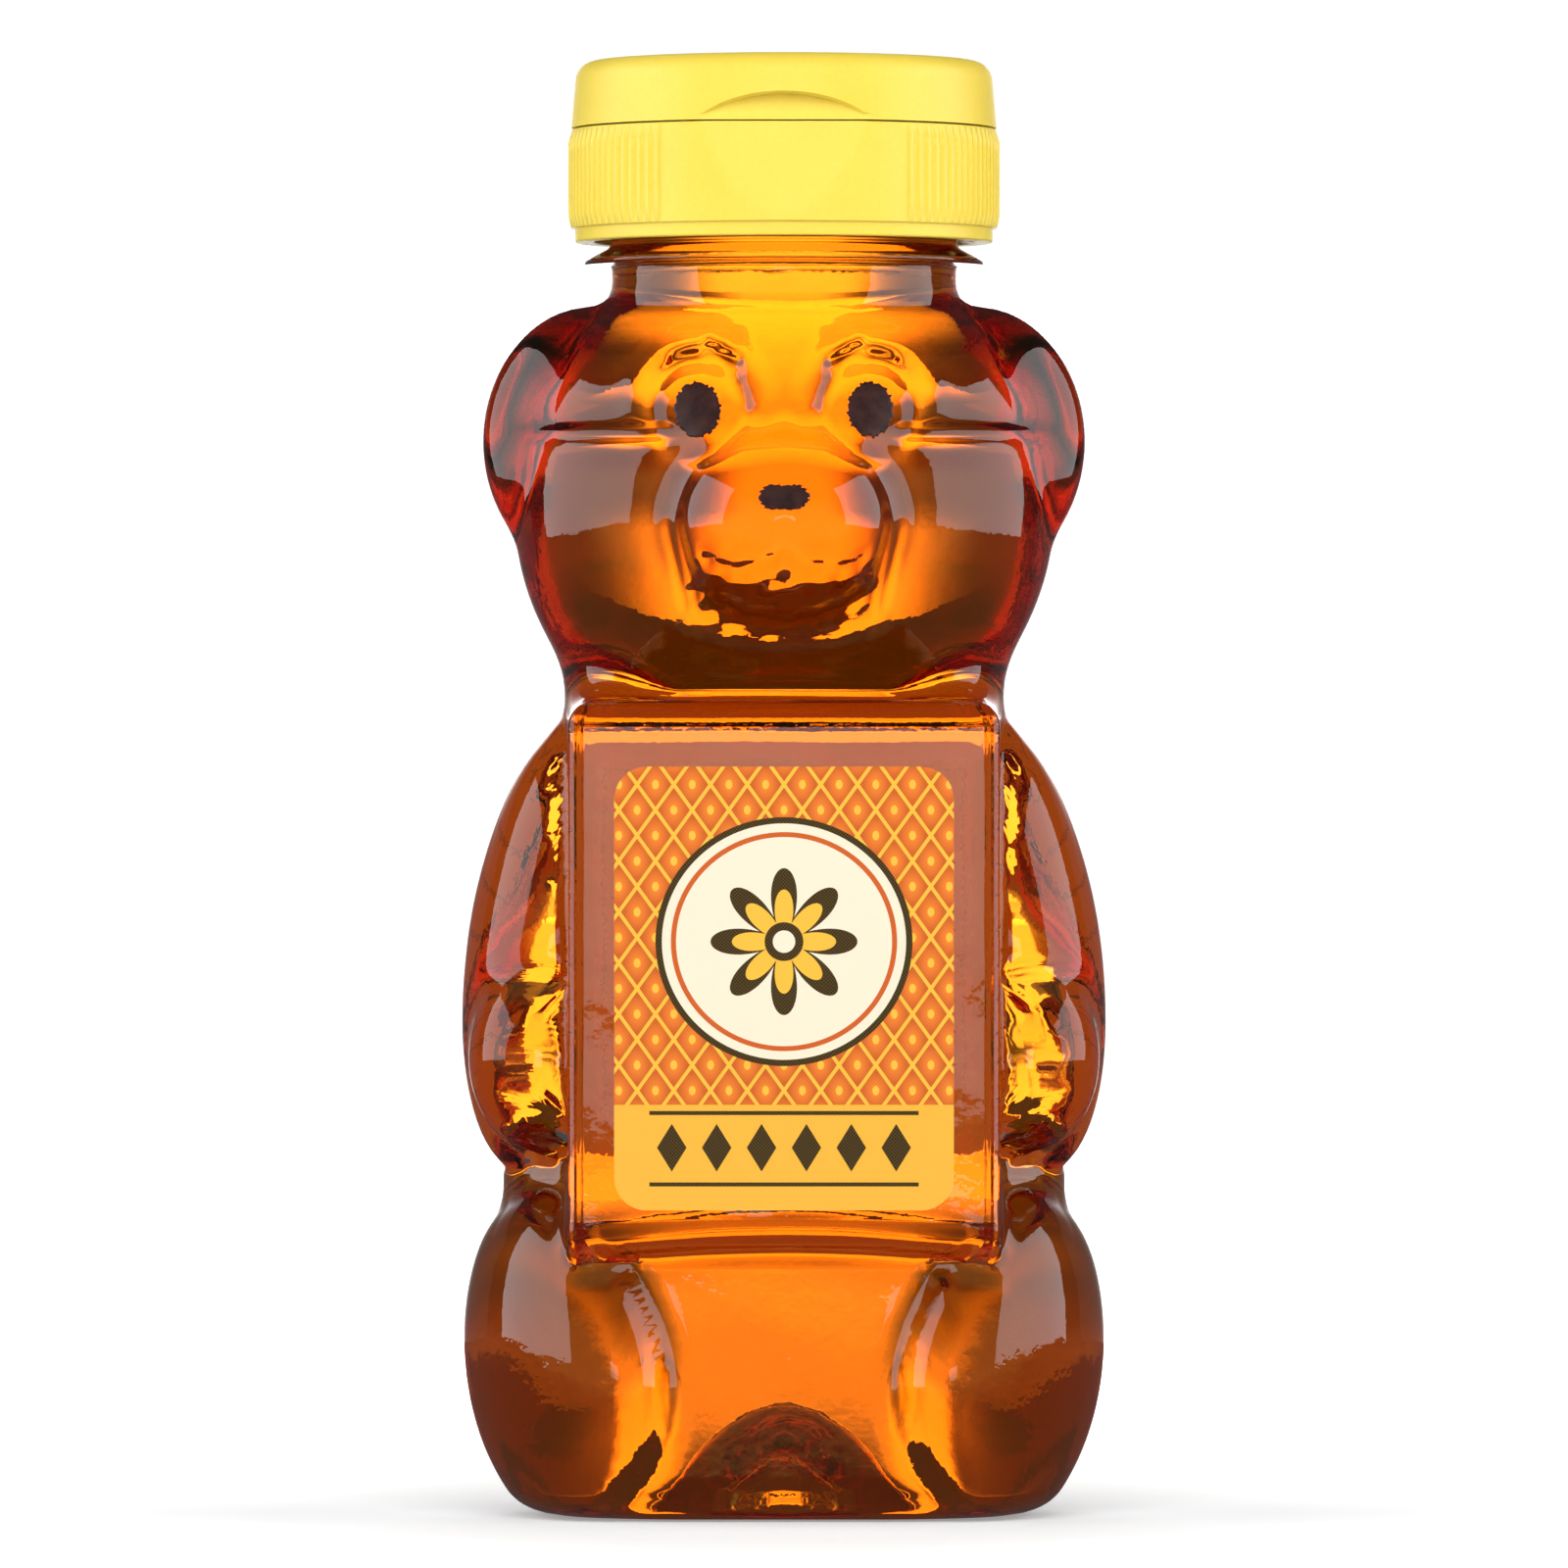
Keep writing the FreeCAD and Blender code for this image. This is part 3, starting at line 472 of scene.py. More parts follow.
# Light bends in it as in a syrup and loses blue and green on its way. Faint streaks change its colour.
honey = uneven_material(
    "honey",
    noise=(70.0, 900.0),
    roughness=(-0.03, 0.01),
    colours=((1.0, 0.64, 0.17, 1.0), (1.0, 0.58, 0.12, 1.0)),
    relief=(0.04, 0.0004),
    relief_noise=(40.0, 260.0),
    plain={"IOR": 1.49, "Specular Tint": (0.0, 0.0, 0.0, 1.0), "Transmission Weight": 1.0},
)
honey_tree = honey.node_tree
absorbed = {"Color": (0.995, 0.9665, 0.896, 1.0), "Density": 1000.0}
honey_depth = node(honey_tree, "VolumeAbsorption", absorbed).outputs["Volume"]
honey_tree.links.new(honey_depth, honey_tree.get_output_node("ALL").inputs["Volume"])
honey_r, honey_z = shell_rows(
    honey_inset, honey_neck_r, bottle_angles, inner_top, count=150, base_count=16
)
top_profile = [
    (honey_neck_r, ring_z), (honey_neck_r, ring_z + 4.0), (honey_neck_r, honey_top + 0.6),
    (honey_neck_r - 0.3, honey_top + 0.45), (honey_neck_r - 0.7, honey_top + 0.2),
    (honey_neck_r - 1.7, honey_top + 0.02), (9.0, honey_top), (3.0, honey_top),
]
top_r, top_z = all_round(top_profile, bottle_angles)
honey_points = in_frame(np.concatenate([honey_r, top_r]), bottle_angles, np.concatenate([honey_z, top_z]))
grid_piece("honey_fill", honey_points, honey, "bottle", "honey")

# Printed eyes and nose: dark ink stamped on the outside of the wall by a coarse screen,
# which leaves a ragged edge and small specks of a redder brown.
ink_t, ink_sunk = 0.12, 0.05
ink = uneven_material(
    "ink",
    noise=(700.0, 5200.0),
    roughness=(0.32, 0.55),
    colours=((0.012, 0.006, 0.006, 1.0), (0.06, 0.018, 0.014, 1.0)),
    relief=(0.3, 0.00005),
)


def front_of_bear(x, z):
    """Depth at which the bear's front meets an upright place."""
    def is_solid(depth):
        return shell_gap(x, depth, z, 0.0, neck_r) < 0

    return halved(np.zeros(x.shape), np.full(x.shape, -45.0), is_solid)


def ink_patch(name, x, z, half_w, half_h, notch, seed):
    """A film of ink: rings of an oval on the bear's front, from the middle under the film to its edge and
    back over it. The outline is cut in uneven teeth, and a notch pinches it at the top and bottom middle."""
    tooth_count, tooth_points, ring_count = 64, 3, 12
    turn = np.linspace(0.0, 2 * math.pi, tooth_count * tooth_points, endpoint=False)
    teeth = np.repeat(np.random.default_rng(seed).uniform(-0.07, 0.05, tooth_count), tooth_points)
    edge = 1 + teeth - notch * np.abs(np.sin(turn)) ** 8
    over_film, under_film = np.linspace(0.06, 1.0, ring_count), np.linspace(0.995, 0.06, ring_count)
    share = np.concatenate([over_film, under_film])[:, None]
    lift = np.repeat([ink_t, -ink_sunk], ring_count)[:, None]
    across = x + half_w * share * edge * np.cos(turn)
    up = z + half_h * share * edge * np.sin(turn)
    depth = front_of_bear(across, up) - lift + axis_y
    points = np.stack([across, depth, up], axis=-1)[::-1, ::-1] * MM
    return grid_piece(f"{name}_ink", points, ink, "bottle", f"{name}_print")


ink_patch("left_eye", eye_x, eye_z, half_w=2.3, half_h=2.75, notch=0.0, seed=11)
ink_patch("right_eye", -eye_x, eye_z, half_w=2.3, half_h=2.75, notch=0.0, seed=12)
ink_patch("nose", 0.0, snout_z + 2.4, half_w=2.5, half_h=1.55, notch=0.24, seed=13)

# Labels: printed paper with rounded corners, glued to the flat chest and to the flat back.
# The front one is printed in orange and gold. The back one is plain cream with ruled lines.
# Seen through the honey, the glued side has a painted glow, an emission in place of light through the paper.
label_corner = 3.2
front_box, back_box = (front_low, front_high), (back_low, back_high)
front_half_w = front_high.x / MM
back_half_w = panel_half_w - 0.2
back_half_h = (back_high.z - back_low.z) / 2 / MM


def sheet_of_paper(name, box, half_w, material, node_name, faces_front):
    """A thin slab: rows from its lower to its upper edge go across its front and return across its rear, as
    wide as the rounded corners leave them. Past the flat of the panel it bends round the panel's rounded
    edge. An attribute marks the glued side."""
    low, high = box
    row_count, column_count = 60, 40
    half_h = (high.z - low.z) / 2 / MM
    rise = np.cos(np.linspace(math.pi, 0.0, row_count))[:, None] * half_h
    into_corner = np.maximum(np.abs(rise) - (half_h - label_corner), 0.0)
    width = half_w - label_corner + np.sqrt(np.maximum(label_corner**2 - into_corner**2, 0.02))
    across = np.linspace(-1.0, 1.0, column_count)
    places = np.concatenate([across, across[::-1]]) * width
    past_flat = np.clip(np.abs(places) - (panel_half_w - panel_edge_r), 0.0, panel_edge_r)
    bend = panel_edge_r - np.sqrt(panel_edge_r**2 - past_flat**2)
    flat_y = np.repeat([low.y, high.y], column_count)
    depths = flat_y + bend * MM * (1 if faces_front else -1)
    heights = (low.z + high.z) / 2 + rise * MM
    points = np.stack(np.broadcast_arrays(places * MM, depths, heights), axis=-1)
    piece = grid_piece(name, points, material, "bottle", node_name, sharp=40.0)
    glued = piece.data.attributes.new("glued", "FLOAT", "POINT")
    on_wall = flat_y == (high.y if faces_front else low.y)
    marks = np.append(np.tile(on_wall, row_count), [False, False])
    glued.data.foreach_set("value", marks.astype(np.float32))
    return piece


def label_places(tree, box):
    """Sockets for the places across and up a label, in millimetres from its middle."""
    low, high = box
    centre = ((low.x + high.x) / 2, 0.0, (low.z + high.z) / 2)
    where = node(tree, "TexCoord").outputs["Object"]
    moved = node(tree, "VectorMath", {0: where, 1: centre}, operation="SUBTRACT")
    scaled = node(tree, "VectorMath", {0: moved.outputs[0], "Scale": 1 / MM}, operation="SCALE")
    parts = node(tree, "SeparateXYZ", {0: scaled.outputs[0]})
    return parts.outputs["X"], parts.outputs["Z"]


def arithmetic(tree):
    """A short way to write arithmetic on sockets."""
    def work(operation, *values):
        return node(tree, "Math", dict(enumerate(values)), operation=operation).outputs[0]

    return work


def repeat(work, value, pitch):
    """How far a value is from the middle of its repeat, as a share of the pitch."""
    return work("ABSOLUTE", work("SUBTRACT", work("FRACT", work("DIVIDE", value, pitch)), 0.5))


def stripe(work, value, middle, half_w):
    """1 within the half width of a middle value, and 0 elsewhere."""
    return work("LESS_THAN", work("ABSOLUTE", work("SUBTRACT", value, middle)), half_w)


def away_from(work, a, b):
    """The distance over two sides at a right angle: the root of the sum of their squares."""
    return work("SQRT", work("ADD", work("POWER", a, 2.0), work("POWER", b, 2.0)))


def printed(tree, ground, layers):
    """A ground colour with layers of ink over it in turn, each a mask and a colour."""
    for mask, colour in layers:
        ground = over(tree, ground, mask, colour)
    return ground


def paper_shader(tree, colour, glow):
    """Paper with a satin print: its gloss and small relief change with the fibres, and its glued side has a
    painted glow, an emission of the given colour in place of the light that comes through."""
    fibres = uneven(tree, 900.0, 6000.0, 0.36, 0.52)
    glued = node(tree, "Attribute", attribute_name="glued").outputs["Fac"]
    inputs = {
        "Base Color": colour,
        "Roughness": fibres["Value"],
        "Normal": relief_of(tree, fibres["Share"], 0.15, 0.00004),
        "Specular IOR Level": 0.25,
        # Painted glow: the glued side emits the given colour in place of light shining through the paper.
        "Emission Color": over(tree, (0.0, 0.0, 0.0, 1.0), glued, glow),
        "Emission Strength": 1.0,
    }
    shader = node(tree, "BsdfPrincipled", inputs)
    node(tree, "OutputMaterial", {"Surface": shader.outputs["BSDF"]})


def front_print(box):
    """The front label's print: an orange ground with a gold lattice of diamonds and a seed in each, a cream
    oval with a dark border and a petal rosette in its middle, and a yellow foot with a row of lozenges."""
    material, tree = new_material("front_label_paper")
    work = arithmetic(tree)
    u, v = label_places(tree, box)
    orange, deep = (0.86, 0.2, 0.02, 1.0), (0.62, 0.09, 0.012, 1.0)
    gold, cream = (0.98, 0.52, 0.05, 1.0), (0.93, 0.84, 0.66, 1.0)
    brown, yellow = (0.008, 0.004, 0.003, 1.0), (0.94, 0.47, 0.045, 1.0)
    lattice_pitch, lattice_slant = 3.6, 0.72
    oval_half_w, oval_half_h, oval_up = 12.6, 12.2, 4.6
    foot_top, lozenge_pitch, lozenge_down, foot_half_w = -11.4, 4.4, 15.6, 13.2
    rule_heights, rule_half_w = (-12.2, -19.2), 0.2
    screen_count, screen_share, screen_tint = 18.0, 0.06, (0.98, 0.6, 0.12, 1.0)

    slope = work("MULTIPLY", v, lattice_slant)
    first = repeat(work, work("ADD", u, slope), lattice_pitch)
    second = repeat(work, work("SUBTRACT", u, slope), lattice_pitch)
    from_seed = away_from(work, first, second)
    layers = [
        (graded(tree, from_seed, 0.16, 0.5), deep),
        (work("LESS_THAN", from_seed, 0.13), gold),
        (work("GREATER_THAN", work("MAXIMUM", first, second), 0.44), gold),
    ]

    up = work("SUBTRACT", v, oval_up)
    oval = away_from(work, work("DIVIDE", u, oval_half_w), work("DIVIDE", up, oval_half_h))
    layers += [(work("LESS_THAN", oval, 1.0), brown), (work("LESS_THAN", oval, 0.95), cream)]
    layers += [(stripe(work, oval, 0.86, 0.02), deep)]

    away = away_from(work, u, up)
    petal = work("ABSOLUTE", work("COSINE", work("MULTIPLY", work("ARCTAN2", up, u), 4.0)))
    rosette = ((2.6, 4.6, brown), (1.9, 3.2, gold), (1.9, 0.0, brown), (1.1, 0.0, cream))
    for heart_r, petal_length, colour in rosette:
        edge = work("ADD", heart_r, work("MULTIPLY", petal, petal_length))
        layers += [(work("LESS_THAN", away, edge), colour)]

    layers += [(work("LESS_THAN", v, foot_top), yellow)]
    step = repeat(work, u, lozenge_pitch)
    rise = work("ABSOLUTE", work("DIVIDE", work("ADD", v, lozenge_down), lozenge_pitch))
    lozenge = work("LESS_THAN", work("ADD", step, work("MULTIPLY", rise, 0.62)), 0.33)
    within = stripe(work, u, 0.0, foot_half_w)
    rules = [stripe(work, v, height, rule_half_w) for height in rule_heights]
    for marks in (lozenge, *rules):
        layers += [(work("MULTIPLY", marks, within), brown)]

    wave_u, wave_v = (work("SINE", work("MULTIPLY", value, screen_count)) for value in (u, v))
    screen = work("MULTIPLY", work("ADD", work("MULTIPLY", wave_u, wave_v), 1.0), screen_share)
    layers += [(screen, screen_tint)]
    # The last colour is the painted glow of the glued side, in place of light through the paper.
    paper_shader(tree, printed(tree, orange, layers), (0.2, 0.16, 0.12, 1.0))
    return material


def back_print(box):
    """The back label's print: cream with an orange border and plain ruled lines. Its glued side has a painted
    glow of backlit cream, in which the ruled lines show faintly darker."""
    material, tree = new_material("back_label_paper")
    work = arithmetic(tree)
    u, v = label_places(tree, box)
    cream, orange, brown = (0.9, 0.78, 0.55, 1.0), (0.86, 0.26, 0.03, 1.0), (0.05, 0.022, 0.012, 1.0)
    line_pitch, border_w, frame_in, margin = 3.4, 2.2, 3.0, 4.0
    from_side = work("SUBTRACT", back_half_w, work("ABSOLUTE", u))
    from_end = work("SUBTRACT", back_half_h, work("ABSOLUTE", v))
    from_edge = work("MINIMUM", from_side, from_end)
    line = work("LESS_THAN", repeat(work, v, line_pitch), 0.05)
    lines = work("MULTIPLY", line, work("GREATER_THAN", from_edge, margin))
    border = work("LESS_THAN", from_edge, border_w)
    frame_line = stripe(work, from_edge, frame_in, 0.18)
    layers = [(lines, brown), (border, orange), (frame_line, brown)]
    # Painted glow of the glued side: backlit paper colour, faintly darker along the ruled lines.
    glow = over(tree, (0.36, 0.27, 0.2, 1.0), work("MULTIPLY", lines, 0.35), (0.2, 0.13, 0.09, 1.0))
    paper_shader(tree, printed(tree, cream, layers), glow)
    return material


sheet_of_paper("front_label_paper", front_box, front_half_w, front_print(front_box), "front_label", True)
sheet_of_paper("back_label_paper", back_box, back_half_w, back_print(back_box), "back_label", False)

# Foil and liner: a disc of aluminium foil is sealed on the lip under the cap, and a ring of white foam
# sits in the cap and presses on it. Both stay hidden until the cap is unscrewed.
liner_low, liner_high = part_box("cap_liner")
liner_r = (liner_high.x - liner_low.x) / 2 / MM
liner_hole = liner_r - 6.0
liner_foot, liner_top = liner_low.z / MM, liner_high.z / MM
liner_edge = 0.12
seal_r = (seal_high.x - seal_low.x) / 2 / MM
seal_top = seal_high.z / MM
seal_edge = 0.03


def rounded_profile(corners, spacing=0.9):
    """Points along straight runs between corners (radius, height, rounding). A rounding starts and ends that
    far from its corner and follows a parabola with the corner as its control point."""
    spots = np.array(corners, dtype=float)
    made = []
    for i, (radius, height, rounding) in enumerate(spots):
        corner = np.array([radius, height])
        if rounding == 0 or i in (0, len(spots) - 1):
            made.append(corner[None])
            continue
        ways = [spots[i - 1, :2] - corner, spots[i + 1, :2] - corner]
        start, end = (corner + way / np.linalg.norm(way) * rounding for way in ways)
        t = np.linspace(0.0, 1.0, 5)[:, None]
        made.append((1 - t) ** 2 * start + 2 * t * (1 - t) * corner + t * t * end)
    runs = [made[0]]
    for before, after in zip(made, made[1:]):
        gap = after[0] - before[-1]
        steps = max(int(math.ceil(np.linalg.norm(gap) / spacing)), 1)
        runs.append(before[-1] + gap * (np.arange(1, steps) / steps)[:, None])
        runs.append(after)
    return np.concatenate(runs)


# The foil is a satin metal with shallow dents. The foam is matt, with fine pits painted a little grey.
# In both, the darker colour lies where the relief is low: painted shade in the dents and the pits.
foil = uneven_material(
    "foil",
    noise=(240.0, 3800.0),
    roughness=(0.22, 0.42),
    colours=((0.72, 0.72, 0.73, 1.0), (0.86, 0.86, 0.85, 1.0)),
    relief=(0.4, 0.0001),
    plain={"Metallic": 1.0},
)
foam = uneven_material(
    "liner",
    noise=(1600.0, 7000.0),
    roughness=(0.6, 0.85),
    colours=((0.78, 0.77, 0.72, 1.0), (0.9, 0.9, 0.86, 1.0)),
    relief=(0.5, 0.0001),
)
ring_angles = around(240)
foil_profile = rounded_profile([
    (0.4, lip_z, 0), (seal_r, lip_z, seal_edge), (seal_r, seal_top, seal_edge), (0.4, seal_top, 0),
])
foil_points = in_frame(foil_profile[:, :1], ring_angles, foil_profile[:, 1:])
grid_piece("foil_disc", foil_points, foil, "bottle", "inner_seal", sharp=50.0)
liner_profile = rounded_profile([
    (15.0, liner_foot, 0), (liner_r, liner_foot, liner_edge), (liner_r, liner_top, liner_edge),
    (liner_hole, liner_top, liner_edge), (liner_hole, liner_foot, liner_edge), (14.5, liner_foot, 0),
])
liner_points = in_frame(liner_profile[:, :1], ring_angles, liner_profile[:, 1:])
grid_piece("liner_ring", liner_points, foam, "liner", "cap_liner", sharp=50.0, ring=True)

# Cap: a screw cap moulded in yellow plastic, with fine grip ribs on its sides, a plain rim at its foot,
# a thread inside, and a spout on its deck. A thumb recess is cut into its front and a notch into its back.
cap_low, cap_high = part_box("cap_base")
lid_low, lid_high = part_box("lid")
cap_foot = cap_low.z / MM
parting = lid_low.z / MM - 0.15
cap_r = (lid_high.x - lid_low.x) / 2 / MM
skirt_bore_r, deck_low = 19.0, liner_top
rim_r, rim_top = 20.8, cap_foot + 1.4
collar_r, collar_bore_r, collar_top = 17.1, 16.1, parting + 1.6
spout_foot_r, spout_tip_r, spout_bore_r, spout_tip = 6.0, 4.6, 3.1, cap_high.z / MM
recess_rise, recess_depth, recess_lean = 2.8, 2.3, math.tan(math.radians(11.0))
hinge_seat, hinge_half_w = cap_r - 0.7, 4.9
no_cut = 99.0

# The plastic is satin, with a faint cloudiness in its colour and a fine moulded grain.
closure_plastic = uneven_material(
    "cap_plastic",
    noise=(55.0, 1800.0),
    roughness=(0.34, 0.46),
    colours=((0.95, 0.7, 0.075, 1.0), (0.98, 0.77, 0.105, 1.0)),
    relief=(0.12, 0.00004),
    relief_noise=(2600.0, 9000.0),
    plain={"IOR": 1.49},
)


def flat_reach(distance, toward):
    """Distance from the axis to an upright flat that stands that far off, along a way that has the given
    cosine to it: their quotient. A way over 60 degrees off passes the flat, which then cuts nothing."""
    return np.where(toward > 0.5, distance / np.maximum(toward, 0.5), no_cut)


def recess_reach(angle, height):
    """Distance from the axis to the flat back of the thumb recess, which leans out towards its foot."""
    depth = recess_depth - (parting + recess_rise - height) * recess_lean
    return flat_reach(cap_r - depth, np.cos(angle))


def hinge_reach(angle):
    """Distance from the axis to the flat seat of the hinge at the back, as far as the seat is wide."""
    flat = flat_reach(hinge_seat, -np.cos(angle))
    return np.where(np.abs(flat * np.sin(angle)) < hinge_half_w, flat, no_cut)


def grip_ribs(angle):
    """Height of the ribs: a trapezium every three degrees, between two angles off the front."""
    first, last, pitch, rib_h = 36.0, 150.0, 3.0, 0.3
    off = np.degrees(np.abs(np.mod(angle + math.pi, 2 * math.pi) - math.pi))
    beat = np.abs(np.mod(off - first + pitch / 2, pitch) - pitch / 2)
    ribbed = (off > first - 1.0) & (off < last + 1.0)
    return rib_h * np.clip((1.0 - beat) / 0.5, 0.0, 1.0) * ribbed


def cap_radius(angle, radius, height):
    """The profile's radius carried round the axis: ribs stand on the skirt, the thumb recess and the seat of
    the hinge cut it back, and the thread stands on its inside."""
    rib_span = ramp(height, rim_top + 0.05, rim_top + 0.4) * ramp(height, parting - 1.0, parting - 1.3)
    outside = np.minimum(radius + grip_ribs(angle) * rib_span, recess_reach(angle, height))
    outside = np.where(height > parting - 3.2, np.minimum(outside, hinge_reach(angle)), outside)
    inside = radius - thread_crest(angle, height, start_z=cap_foot + 1.05, last_turn=5.97)
    on_skirt = (radius > 20.0) & (height > cap_foot + 1.0)
    in_skirt = (np.abs(radius - skirt_bore_r) < 0.02) & (height < deck_low - 0.5)
    return np.where(on_skirt, outside, np.where(in_skirt, inside, radius))


cap_angles = around(720)
cap_profile = rounded_profile([
    (20.0, cap_foot, 0), (rim_r, cap_foot, 0.25), (rim_r, rim_top, 0.12), (cap_r, rim_top, 0.12),
    (cap_r, parting, 0.25), (collar_r, parting, 0.2), (collar_r, collar_top, 0.25),
    (collar_bore_r, collar_top, 0.25), (collar_bore_r, parting, 0.2), (spout_foot_r, parting, 0.5),
    (spout_tip_r, spout_tip, 0.4), (spout_bore_r, spout_tip, 0.4), (spout_bore_r, deck_low, 0.2),
    (skirt_bore_r, deck_low, 0.3), (skirt_bore_r, cap_foot, 0.2), (19.9, cap_foot, 0),
], spacing=1.1)
cap_profile_r, cap_profile_z = cap_profile[:, :1], cap_profile[:, 1:]
cap_points = in_frame(cap_radius(cap_angles, cap_profile_r, cap_profile_z), cap_angles, cap_profile_z)
grid_piece("cap_shell", cap_points, closure_plastic, "cap", "cap_base", sharp=40.0, ring=True)

# Lid: a shallow hollow cover in the same yellow plastic, with a rounded top edge.
# The thumb recess cuts its front, and a collar under its roof closes round the spout.
lid_foot, lid_top = lid_low.z / MM, lid_high.z / MM
lid_draft, lid_edge_r = 0.4, 2.0
lid_side_top = lid_top - lid_edge_r
lid_top_r = cap_r - lid_draft
roof_z = lid_top - 1.3
lid_bore_r, lid_front_flat = 19.8, 17.5
plug_bore_r, plug_r, plug_foot = 5.19, 5.99, spout_tip - 1.2
recess_half_w, recess_curve_h, recess_edge = 10.1, 5.4, 0.12


def lid_side(height):
    """Radius of the lid's outside, which narrows a little towards the top."""
    return cap_r - lid_draft * (height - lid_foot) / (lid_side_top - lid_foot)


def lid_outside(angle):
    """Rows of the lid's side from its foot to the rounded edge: up the flat of the thumb recess, out over the
    recess's upper edge, which is half an oval, and up the rest. The seat of the hinge is cut at the back."""
    across = cap_r * np.sin(angle)
    curve = recess_curve_h * (np.sqrt(np.maximum(1 - (across / recess_half_w) ** 2, 0.0)) - 1)
    least = lid_foot + 0.6
    recess_top = np.where(np.cos(angle) > 0, np.maximum(parting + recess_rise + curve, least), least)
    share = np.linspace(0.0, 1.0, 9)[:, None]
    recess_z = lid_foot + (recess_top - recess_edge - lid_foot) * share
    recess_r = np.minimum(lid_side(recess_z), recess_reach(angle, recess_z))
    step = np.linspace(0.0, 1.0, 6)[1:-1, None]
    step_z = recess_top - recess_edge + 2 * recess_edge * step
    step_r = recess_r[-1] + (lid_side(step_z) - recess_r[-1]) * ramp(step, 0.0, 1.0)
    upper_z = recess_top + recess_edge + (lid_side_top - recess_top - recess_edge) * share
    radius = np.concatenate([recess_r, step_r, lid_side(upper_z)])
    height = np.concatenate([recess_z, step_z, upper_z])
    return np.where(height < lid_foot + 1.7, np.minimum(radius, hinge_reach(angle)), radius), height


def lid_inside(angle):
    """Rows of the lid's inner wall from the roof down to its foot, flat in front behind the thumb recess."""
    drop = np.array([0.0, 0.04, 0.3, 0.6, 0.92, 0.985, 1.0])[:, None]
    swell = np.array([0.97, 1.0, 1.0, 1.0, 1.0, 1.0, 1.002])[:, None]
    radius = np.minimum(lid_bore_r, flat_reach(lid_front_flat, np.cos(angle))) * swell
    return radius, np.broadcast_to(roof_z + (lid_foot - roof_z) * drop, radius.shape)


lid_angles = around(720)
under_roof = rounded_profile([
    (0.5, roof_z, 0), (plug_bore_r, roof_z, 0.2), (plug_bore_r, plug_foot, 0.2), (plug_r, plug_foot, 0.2),
    (plug_r, roof_z, 0.3), (16.6, roof_z, 0),
], spacing=1.2)
edge_turn = np.radians(np.linspace(9.0, 90.0, 9))
edge_r = lid_top_r - lid_edge_r + lid_edge_r * np.cos(edge_turn)
edge_z = lid_side_top + lid_edge_r * np.sin(edge_turn)
roof = rounded_profile([(lid_top_r - lid_edge_r - 0.8, lid_top, 0), (0.5, lid_top, 0)], spacing=1.6)
lid_parts = [
    all_round(under_roof, lid_angles),
    lid_inside(lid_angles),
    lid_outside(lid_angles),
    all_round(np.stack([edge_r, edge_z], axis=1), lid_angles),
    all_round(roof, lid_angles),
]
lid_radius, lid_height = (np.concatenate([part[i] for part in lid_parts]) for i in (0, 1))
lid_points = in_frame(lid_radius, lid_angles, lid_height)
grid_piece("lid_shell", lid_points, closure_plastic, "lid", "lid", sharp=40.0)

# Hinge: a thin strip of the same plastic across the parting line at the back, moulded with cap and lid.
# It is thinnest along its middle, where it folds.
web_low, web_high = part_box("hinge_web")
fold_z = (web_low.z + web_high.z) / 2
fold_depth, fold_width = 0.55, 0.16


def hinge_strip():
    """A closed strip: columns go up its outside and down its inside, and its thickness falls to under half at
    the fold by a bell curve of the height."""
    rise = np.linspace(-1.0, 1.0, 25)
    half_h = (web_high.z - web_low.z) / 2
    thick = (web_high.y - web_low.y) * (1 - fold_depth * bell(rise, fold_width))
    height = np.concatenate([rise, rise[::-1]]) * half_h + fold_z
    depth = np.concatenate([web_low.y + thick, np.full(len(rise), web_low.y)])
    across = np.linspace(web_high.x, web_low.x, 25)[:, None]
    points = np.stack(np.broadcast_arrays(across, depth, height), axis=-1)
    return grid_piece("hinge_strip", points, closure_plastic, None, "hinge_web", sharp=50.0)


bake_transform(hinge_strip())

# Stage: a pale floor, a soft box at each side, a fill light in front, a back light, and a camera straight
# ahead. Light through the honey comes from a card behind it, a card in front and two level shelves.
# None of it belongs to the object, and its sizes are in metres.
white = (1.0, 1.0, 1.0, 1.0)


def side_fall(work, across, half_w):
    """A share that falls off beyond a half width: 1 / (1 + (across / half width)^6)."""
    square = work("POWER", work("DIVIDE", across, half_w), 2.0)
    return work("DIVIDE", 1.0, work("ADD", 1.0, work("POWER", square, 3.0)))


def object_places(tree):
    """Sockets for X, Y and Z in metres."""
    where = node(tree, "TexCoord").outputs["Object"]
    return node(tree, "SeparateXYZ", {0: where}).outputs


def shine(tree, strength):
    """White light of a strength."""
    return node(tree, "Emission", {"Color": white, "Strength": strength}).outputs[0]


